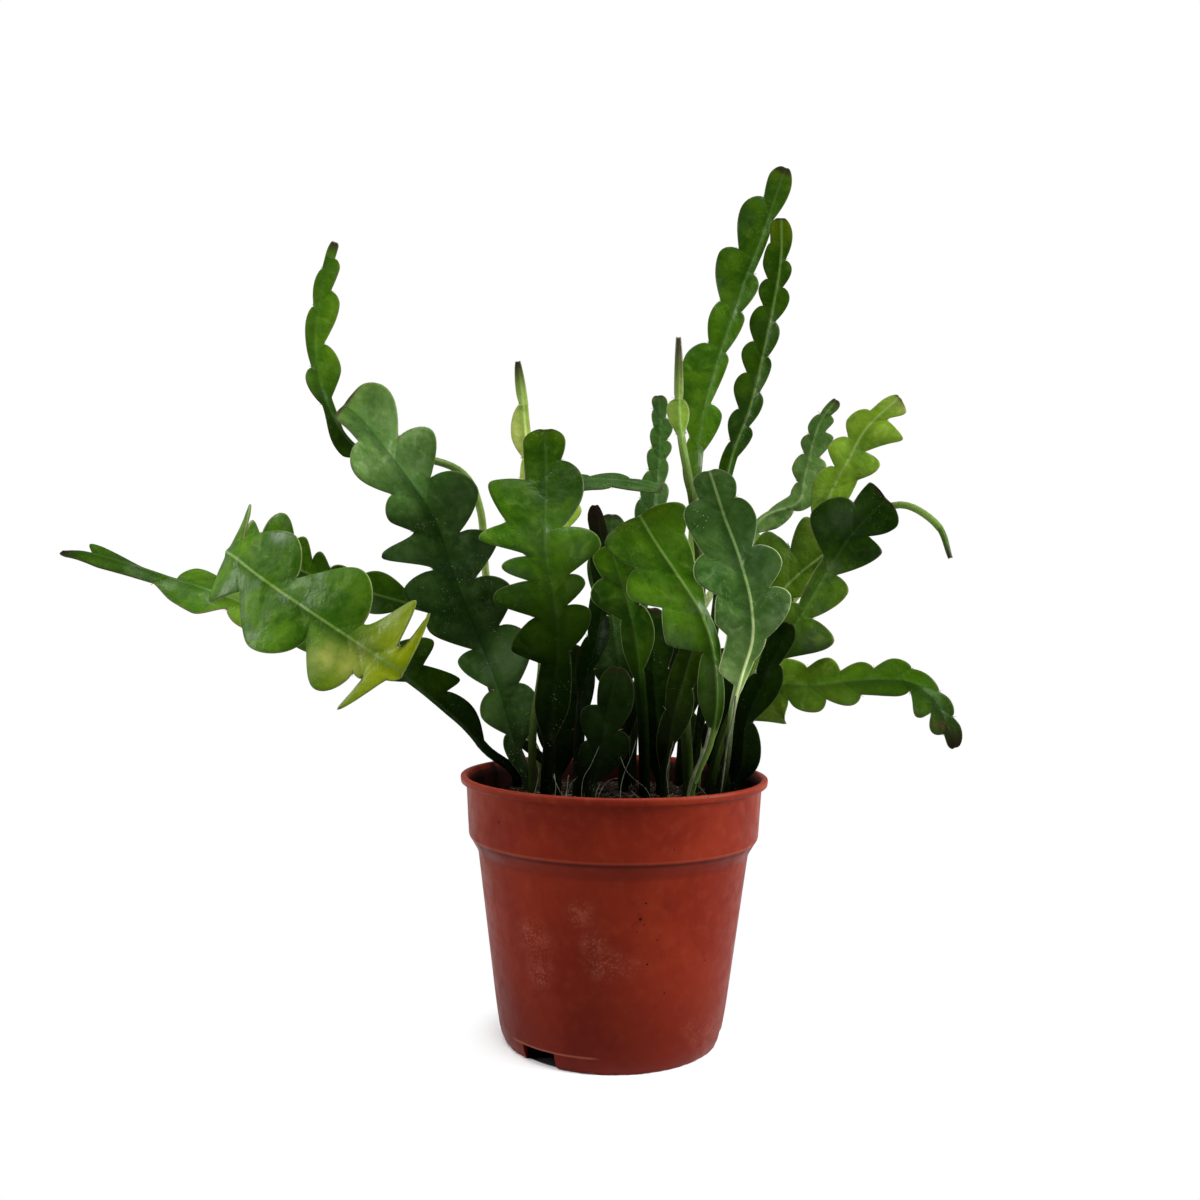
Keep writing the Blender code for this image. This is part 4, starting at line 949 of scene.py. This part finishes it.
def make_stem(stem, finish):
    """Makes a stem from its flat blade, and gives back where its notches are and which way they open."""
    points = stem_route(stem)
    lengths = running_lengths(points)
    length = lengths[-1]
    left = edge_knots(stem, stem.left)
    right = edge_knots(stem, stem.right)
    backs = fine_stations(left, right, length)[::-1]
    place, ahead, side, normal = (np.empty((len(backs), 3)) for _ in range(4))
    for row, back in enumerate(backs):
        spot, direction = point_at(points, lengths, length - back)
        if back >= length - ROOT_LENGTH:
            direction = Vector((0, 0, 1))
        across = direction.cross(facing_at(stem, 1 - back / length)).normalized()
        place[row], ahead[row], side[row], normal[row] = spot, direction, across, across.cross(direction)

    back = np.array(backs)[:, None]
    corner = stem.stalk * WIDE_CORNER
    reach_left, lean_left = np.array([edge_at(left, b) for b in backs]).T[:, :, None]
    reach_right, lean_right = np.array([edge_at(right, b) for b in backs]).T[:, :, None]
    widest = np.maximum(reach_left, reach_right)
    near_tip = np.minimum(1.0, back / RIB_SWELL_LENGTH)
    bladed = np.clip((widest - corner) / corner, 0, 1)
    bladed = np.where(back < max(left[-1][0], right[-1][0]), np.maximum(bladed, 1 - near_tip), bladed)
    rib = RIB_HALF_AT_TIP + (stem.stalk - RIB_HALF_AT_TIP) * near_tip
    rib = rib * (1 - bladed + BLADE_RIB_SHARE * bladed)

    share = np.array([-s for s in SHARES[:0:-1]] + list(SHARES))[None, :]
    v = share * np.where(share < 0, reach_left, reach_right) * (1 + (1 / WIDE_CORNER - 1) * (1 - bladed))
    lean = np.abs(share) * np.where(share < 0, lean_left, lean_right)
    u = -back + lean
    rim = distance_to(u, v, *(np.concatenate((line[:, 0], line[:, -1], line[-1])) for line in (u, v)))
    vein = distance_to_vein(u, v, left, right)

    off_rib = np.abs(v)
    wide = np.clip((widest - NARROW_REACH) / (WIDE_REACH - NARROW_REACH), 0, 1)
    flat = EDGE_HALF + (rib - EDGE_HALF) * (1 - np.abs(share)) ** RIB_FALL
    flat = flat + RIDGE_HEIGHT * np.exp(-(off_rib / RIDGE_HALF_WIDTH) ** 2) * near_tip
    flat = flat - TROUGH_DEPTH * wide * np.exp(-((off_rib - TROUGH_PLACE) / TROUGH_HALF_WIDTH) ** 2)
    puffed = np.clip(vein / PUFF_WIDTH, 0, 1) ** PUFF_ROUND
    flat = flat + PUFF_HEIGHT * wide * puffed * np.clip(rim / PUFF_WIDTH, 0, 1)
    rounded = np.sqrt(np.clip(1 - (1 - np.clip(rim / EDGE_ROUND, 0, 1)) ** 2, EDGE_FLOOR, 1))
    stalk = stem.stalk * np.sqrt(np.maximum(1 - share ** 2, 0))
    half = (1 - bladed) * stalk + bladed * np.maximum(flat, THINNEST_HALF) * rounded
    half[:, [0, -1]] = 0

    phase = noise.random() * 2 * math.pi
    wave = WAVE_HEIGHT * wide * share ** 2 * np.sin(2 * math.pi * back / WAVE_LENGTH + phase + share)
    lift = stem.cup * (v / CUP_REACH) ** 2 * bladed + wave * bladed
    middle = place[:, None] + side[:, None] * v[..., None] + ahead[:, None] * lean[..., None]
    upper = middle + normal[:, None] * (lift + half)[..., None]
    lower = middle + normal[:, None] * (lift - half)[..., None]

    marks = {"rib": off_rib, "rim": rim, "vein": vein, **stem_marks(stem, length, back, u, v, bladed)}
    values = {key: np.concatenate((numbers, numbers[:, 1:-1]), 1).ravel() for key, numbers in marks.items()}
    columns = share.shape[1]
    loop = list(range(columns)) + list(range(2 * columns - 3, columns - 1, -1))
    places = np.concatenate((upper, lower[:, 1:-1]), 1).reshape(-1, 3)
    name = "stem_" + stem.name
    made = new_mesh_object(name + "_fine", places, ring_faces(len(backs), loop), finish, values)
    settle(made, SKINS[stem.colour].slot, name)
    found = {}
    for knots, column, outward in ((left, 0, -1), (right, columns - 1, 1)):
        for knot in notches(knots):
            row = int(np.argmin(np.abs(np.array(backs) - knot[0])))
            found[(row, column)] = (upper[row, column], side[row] * outward, ahead[row])
    return list(found.values())


def make_stems():
    """Makes every stem, and gives back where its notches are, which way they open and which way is up."""
    noise.seed_set(SEED)
    finishes = {name: stem_skin(name, skin) for name, skin in SKINS.items()}
    found = []
    for stem in STEMS:
        found += make_stem(stem, finishes[stem.colour])
    return found


def tube(route, radii, sides):
    """Places and faces of a tube along a route of points, closed at both ends."""
    places = []
    for index, point in enumerate(route):
        before = route[max(index - 1, 0)]
        after = route[min(index + 1, len(route) - 1)]
        along = (after - before).normalized()
        across = along.orthogonal().normalized()
        other = along.cross(across)
        for corner in range(sides):
            angle = 2 * math.pi * corner / sides
            places.append(point + (across * math.cos(angle) + other * math.sin(angle)) * radii[index])
    return places, ring_faces(len(route), list(range(sides)))


def strayed(draw, reach):
    return Vector([draw.uniform(-reach, reach) for _ in range(3)])


def bent_route(start, end, draw, stray, steps):
    """Points from start to end that stray sideways, by a share of the distance."""
    reach = (end - start).length * stray
    first = start.lerp(end, 1 / 3) + strayed(draw, reach)
    second = start.lerp(end, 2 / 3) + strayed(draw, reach)
    route = []
    for step in range(steps + 1):
        share = step / steps
        early = start.lerp(first, share).lerp(first.lerp(second, share), share)
        late = first.lerp(second, share).lerp(second.lerp(end, share), share)
        route.append(early.lerp(late, share))
    return route


def thread(start, end, draw, stray, steps, radii):
    """A thin tube from start to end that strays sideways."""
    route = bent_route(start, end, draw, stray, steps)
    return tube(route, [draw.uniform(*radii)] * len(route), THREAD_SIDES)


def make_tufts(found):
    """A tiny woolly tuft with three short bristles in each notch."""
    draw = random.Random(SEED)
    shapes = []
    for mark in found:
        place, outward, ahead = map(Vector, mark)
        foot = place - outward * TUFT_SETBACK
        for _ in range(BRISTLE_COUNT):
            lean = strayed(draw, 0.5)
            point = foot + (outward + ahead * 0.5 + lean) * draw.uniform(*BRISTLE_LENGTHS)
            shapes.append(tube([foot, foot.lerp(point, 0.5), point], BRISTLE_RADII, THREAD_SIDES))
        knob = bent_route(foot - ahead * KNOB_BELOW, foot + ahead * KNOB_ABOVE, draw, 0.1, 4)
        shapes.append(tube(knob, KNOB_RADII, 6))
    make_group("notch_tufts", shapes, root_fibre("tuft_wool", *WOOL_COLOURS), "stem_green")


def rounded_outline(corners):
    """An outline of (radius, height) whose corners are rounded where a third number gives a rounding."""
    points = [corners[0][:2]]
    for before, corner, after in zip(corners, corners[1:], corners[2:]):
        x, z, rounding = (*corner, 0)[:3]
        if not rounding:
            points.append((x, z))
            continue
        here = Vector((x, z))
        back_way = Vector(before[:2]) - here
        on_way = Vector(after[:2]) - here
        start = here + back_way.normalized() * min(rounding, back_way.length * LONGEST_ROUNDING)
        end = here + on_way.normalized() * min(rounding, on_way.length * LONGEST_ROUNDING)
        for step in range(ARC_STEPS + 1):
            share = step / ARC_STEPS
            points.append(tuple(start.lerp(here, share).lerp(here.lerp(end, share), share)))
    return points + [corners[-1][:2]]


def lathe(name, outline, sides, finish):
    """Turns an outline round Z. It starts and ends on the axis, up the inside and down the outside."""
    places = []
    rows = []
    for radius, height in outline:
        count = sides if radius else 1
        rows.append([len(places) + corner % count for corner in range(sides)])
        places += [(*around(radius, 2 * math.pi * corner / sides), height) for corner in range(count)]
    faces = []
    for row, following in zip(rows, rows[1:]):
        for corner in range(sides):
            beside = (corner + 1) % sides
            loop = (row[corner], row[beside], following[beside], following[corner])
            faces.append(tuple(dict.fromkeys(loop)))
    return new_mesh_object(name, places, faces, finish)


def heel_radius(height):
    """Outer radius of the pot at a height between its heel and the foot of its wall."""
    return HEEL_RADIUS + (WALL_FOOT_RADIUS - HEEL_RADIUS) * (height - HEEL_Z) / (WALL_FOOT_Z - HEEL_Z)


def inner_wall(gap):
    """The pot's inside from the middle of its floor up to the foot of the collar, moved inwards by gap."""
    inset = POT_WALL + gap
    floor = BASE_PLATE_Z + inset
    return [
        (0, inset),
        (PAD_RADIUS - 1.0 - gap, inset, 0.6),
        (PAD_RADIUS - gap, floor, 0.6),
        (heel_radius(floor) - inset, floor, 1.5),
        (WALL_FOOT_RADIUS - inset, WALL_FOOT_Z),
        (STEP_RADIUS - inset, STEP_Z, 1.0),
        (COLLAR_FOOT_RADIUS - inset, COLLAR_FOOT_Z, 1.5),
    ]


def cutter(name, shape, radius, azimuth, height, turned):
    """An object that cuts the pot's base, turned to face outwards or not."""
    made = bpy.data.objects.new(name, mesh_of(name, shape))
    angle = math.radians(azimuth)
    place = (*(value * MM for value in around(radius, angle)), height)
    made.matrix_world = Matrix.Translation(place) @ Matrix.Rotation(angle if turned else 0.0, 4, "Z")
    return made


def foot_cutters():
    """Boxes for the notches in the foot ring and cylinders for the drain holes."""
    cutters = []
    for index, azimuth in enumerate(NOTCH_AZIMUTHS):
        shape = bmesh.new()
        scale = Matrix.Diagonal((*[side * MM for side in NOTCH_SIZE], 1.0))
        bmesh.ops.create_cube(shape, size=1.0, matrix=scale)
        cutters.append(cutter(f"notch_cutter_{index}", shape, FOOT_RADIUS, azimuth, 0.0, True))
    for index in range(DRAIN_COUNT):
        shape = bmesh.new()
        bmesh.ops.create_cone(shape, cap_ends=True, segments=DRAIN_SIDES, radius1=DRAIN_RADIUS * MM,
                              radius2=DRAIN_RADIUS * MM, depth=2 * POT_WALL * MM + DRAIN_SPARE)
        azimuth = 360 * (index + 0.5) / DRAIN_COUNT
        height = (BASE_PLATE_Z + POT_WALL / 2) * MM
        cutters.append(cutter(f"drain_cutter_{index}", shape, DRAIN_RING_RADIUS, azimuth, height, False))
    return cutters


def cut(piece, cutters):
    """Cuts the cutters out of a piece, one Boolean for all of them, and removes them."""
    group = bpy.data.collections.new("cutters")
    bpy.context.scene.collection.children.link(group)
    for item in cutters:
        group.objects.link(item)
    boolean = piece.modifiers.new("cut", "BOOLEAN")
    boolean.operand_type = "COLLECTION"
    boolean.collection = group
    boolean.solver = "EXACT"
    graph = bpy.context.evaluated_depsgraph_get()
    whole = bpy.data.meshes.new_from_object(piece.evaluated_get(graph))
    piece.modifiers.clear()
    piece.data = whole
    for item in cutters:
        bpy.data.objects.remove(item, do_unlink=True)
    bpy.data.collections.remove(group)


def make_pot():
    lip_foot = POT_HEIGHT - LIP_DEPTH
    outline = rounded_outline([
        *inner_wall(0),
        (COLLAR_TOP_RADIUS - POT_WALL, lip_foot - 0.7, 0.8),
        (LIP_RADIUS - LIP_WIDTH, POT_HEIGHT - 0.4, 0.5),
        (LIP_RADIUS - LIP_WIDTH + 0.6, POT_HEIGHT, 0.4),
        (LIP_RADIUS, POT_HEIGHT, LIP_ROUND),
        (LIP_RADIUS - 0.35, lip_foot + 0.5, 0.5),
        (COLLAR_TOP_RADIUS, lip_foot, 0.7),
        (COLLAR_FOOT_RADIUS, COLLAR_FOOT_Z + COLLAR_ROUND * 0.4, 1.0),
        (COLLAR_FOOT_RADIUS - COLLAR_ROUND, COLLAR_FOOT_Z - COLLAR_ROUND, 0.8),
        (STEP_RADIUS, STEP_Z, 1.6),
        (WALL_FOOT_RADIUS, WALL_FOOT_Z, 5.0),
        (HEEL_RADIUS, HEEL_Z, 2.5),
        (FOOT_RADIUS, 0, 0.6),
        (FOOT_RADIUS - FOOT_WIDTH, 0, 0.3),
        (heel_radius(BASE_PLATE_Z) - POT_WALL, BASE_PLATE_Z, 0.5),
        (PAD_RADIUS + 1.4, BASE_PLATE_Z, 0.5),
        (PAD_RADIUS + 0.4, 0.0, 0.3),
        (0, 0),
    ])
    pot = lathe("pot_fine", outline, POT_SIDES, pot_plastic())
    for vertex in pot.data.vertices:
        x, y, z = vertex.co / MM
        if z < HEEL_Z and math.hypot(x, y) > FOOT_RADIUS - FOOT_WIDTH:
            ragged = max(0.0, noise.noise(Vector((x, y, 0)) * RAGGED_DENSITY) + RAGGED_SHARE)
            vertex.co.z += ragged * FOOT_RAGGED * (1 - z / HEEL_Z) * MM
    cut(pot, foot_cutters())
    pot.data.shade_smooth()
    pot.data.set_sharp_from_angle(angle=SHARP_ANGLE)
    settle(pot, "pot_plastic", "pot")


def soil_height(x, y):
    """Height of the peat's surface: a low mound with lumps and grains."""
    edge = COLLAR_FOOT_RADIUS - POT_WALL
    mound = SOIL_MOUND * (1 - (x * x + y * y) / edge ** 2)
    lumps = LUMP_HEIGHT * noise.fractal(Vector((x, y, 0)) * LUMP_DENSITY, 1.0, 2.0, 4)
    grains = sum(height * noise.noise(Vector((x, y, layer)) * density)
                 for height, layer, density in SOIL_GRAINS)
    return SOIL_EDGE_Z + mound + lumps + grains


def make_soil():
    wall = inner_wall(SOIL_GAP)
    slope = (COLLAR_TOP_RADIUS - COLLAR_FOOT_RADIUS) / (POT_HEIGHT - LIP_DEPTH - COLLAR_FOOT_Z)
    edge = wall[-1][0] + slope * (SOIL_EDGE_Z - COLLAR_FOOT_Z)
    rings = int(edge / SOIL_RING_STEP)
    top = [(edge * (1 - ring / rings), SOIL_EDGE_Z) for ring in range(rings + 1)]
    outline = rounded_outline(wall + [top[0]]) + top[1:]
    soil = lathe("potting_soil_fine", outline[::-1], SOIL_SIDES, peat("peat_fine", *PEAT_COLOURS))
    for vertex in soil.data.vertices:
        x, y, z = vertex.co / MM
        if z > SOIL_EDGE_Z - SOIL_GAP:
            vertex.co.z = soil_height(x, y) * MM
    settle(soil, "peat", "potting_soil")


def soil_spot(draw, furthest):
    radius = furthest * math.sqrt(draw.random())
    return around(radius, draw.uniform(0, 2 * math.pi))


def crumb(draw, centre, size):
    """A lumpy crumb of peat, as places and faces."""
    shape = bmesh.new()
    bmesh.ops.create_icosphere(shape, subdivisions=1, radius=size)
    shape.verts.ensure_lookup_table()
    stretch = [draw.uniform(*CRUMB_STRETCH) for _ in range(3)]
    for vertex in shape.verts:
        stretched = Vector([value * factor for value, factor in zip(vertex.co, stretch)])
        vertex.co = stretched * draw.uniform(*CRUMB_LUMPS)
    places = [vertex.co + Vector(centre) for vertex in shape.verts]
    faces = [tuple(vertex.index for vertex in face.verts) for face in shape.faces]
    shape.free()
    return places, faces


def make_crumbs():
    draw = random.Random(SEED + 1)
    shapes = []
    for _ in range(CRUMB_COUNT):
        x, y = soil_spot(draw, COLLAR_FOOT_RADIUS - 2 * POT_WALL)
        size = draw.uniform(*CRUMB_SIZES) ** CRUMB_POWER
        shapes.append(crumb(draw, (x, y, soil_height(x, y) + size * 0.3), size))
    make_group("peat_crumbs", shapes, peat("peat_crumb", *CRUMB_COLOURS), "peat")


def make_fibres():
    """Short, pale and dark fibres that lie tangled on the peat."""
    draw = random.Random(SEED + 2)
    shapes = []
    for _ in range(FIBRE_COUNT):
        x, y = soil_spot(draw, COLLAR_FOOT_RADIUS - 5 * POT_WALL)
        angle = draw.uniform(0, 2 * math.pi)
        reach = draw.uniform(*FIBRE_REACH)
        end_x, end_y = (max(-FIBRE_LIMIT, min(FIBRE_LIMIT, start + step))
                        for start, step in zip((x, y), around(reach, angle)))
        if math.hypot(end_x, end_y) > COLLAR_FOOT_RADIUS - 3 * POT_WALL:
            continue
        start = Vector((x, y, soil_height(x, y) + 0.1))
        end = Vector((end_x, end_y, soil_height(end_x, end_y) + draw.uniform(*FIBRE_LIFT)))
        shapes.append(thread(start, end, draw, FIBRE_STRAY, FIBRE_STEPS, FIBRE_RADII))
    make_group("peat_fibres", shapes, root_fibre("peat_fibre", *FIBRE_COLOURS), "peat")


def make_roots():
    """Thin aerial roots that hang from the stems into the pot, and a web of finer ones above the peat."""
    draw = random.Random(SEED + 3)
    shapes = []
    for places, thickness in AERIAL_ROOTS:
        route = smooth_through(places, ROOT_STEPS)
        radii = [thickness * (1 - ROOT_TAPER * index / len(route)) for index in range(len(route))]
        shapes.append(tube(route, radii, ROOT_SIDES))
    for _ in range(WEB_COUNT):
        x = draw.uniform(*WEB_BOX[:2])
        y = draw.uniform(*WEB_BOX[2:])
        start = Vector((x, y, soil_height(x, y) + draw.uniform(*WEB_DROP)))
        sway = [draw.uniform(*limits) for limits in WEB_SWAY]
        end = Vector((x + sway[0], y + sway[1], soil_height(x, y)))
        shapes.append(thread(start, end, draw, WEB_STRAY, WEB_STEPS, WEB_RADII))
    make_group("aerial_roots", shapes, root_fibre("aerial_root", *ROOT_COLOURS), "stem_young_green")


def make_lights():
    for name, (place, aim, width, height, power) in LIGHTS.items():
        data = bpy.data.lights.new(name, "AREA")
        data.shape = "RECTANGLE"
        data.size = width
        data.size_y = height
        data.energy = power
        made = linked_object(name, data)
        made.location = place
        made.rotation_euler = (Vector(aim) - Vector(place)).to_track_quat("-Z", "Y").to_euler()


def make_world():
    """White for what the camera sees. As light, bright behind the plant and dim before it."""
    world = bpy.data.worlds.new("studio")
    bpy.context.scene.world = world
    look = Nodes(world)
    direction = look.add("ShaderNodeTexCoord").outputs["Generated"]
    behind = look.add("ShaderNodeSeparateXYZ", {0: direction}).outputs["Y"]
    feeds = {"Value": behind, "From Min": WORLD_FRONT[0], "From Max": WORLD_BACK[0],
             "To Min": WORLD_FRONT[1], "To Max": WORLD_BACK[1]}
    lit = look.add("ShaderNodeMapRange", feeds).outputs[0]
    seen = look.add("ShaderNodeLightPath").outputs["Is Camera Ray"]
    brightness = look.add("ShaderNodeMix", {"Factor": seen, "A": lit, "B": 1.0}).outputs[0]
    background = look.tree.nodes["Background"]
    look.feed(background.inputs["Strength"], brightness)
    look.feed(background.inputs["Color"], (1.0, 1.0, 1.0))


def make_floor():
    shape = bmesh.new()
    bmesh.ops.create_circle(shape, cap_ends=True, segments=FLOOR_SIDES, radius=FLOOR_RADIUS)
    floor = linked_object("floor", mesh_of("floor", shape))
    floor.data.materials.append(floor_material())


def make_camera():
    data = bpy.data.cameras.new("camera")
    data.sensor_fit = "HORIZONTAL"
    data.sensor_width = SENSOR_MM
    data.lens = SENSOR_MM * FOCAL_PIXELS / IMAGE_SIZE
    camera = linked_object("camera", data)
    camera.matrix_world = (Matrix.Translation(Vector(CAMERA_PLACE) * MM)
                           @ Matrix.Rotation(math.pi / 2, 4, "X") @ Matrix.Rotation(CAMERA_ROLL, 4, "Z"))
    bpy.context.scene.camera = camera


make_camera()
make_world()
make_lights()
make_floor()
make_pot()
make_soil()
make_crumbs()
make_fibres()
make_tufts(make_stems())
make_roots()
bpy.context.scene.view_settings.view_transform = "Standard"
bpy.context.view_layer.update()
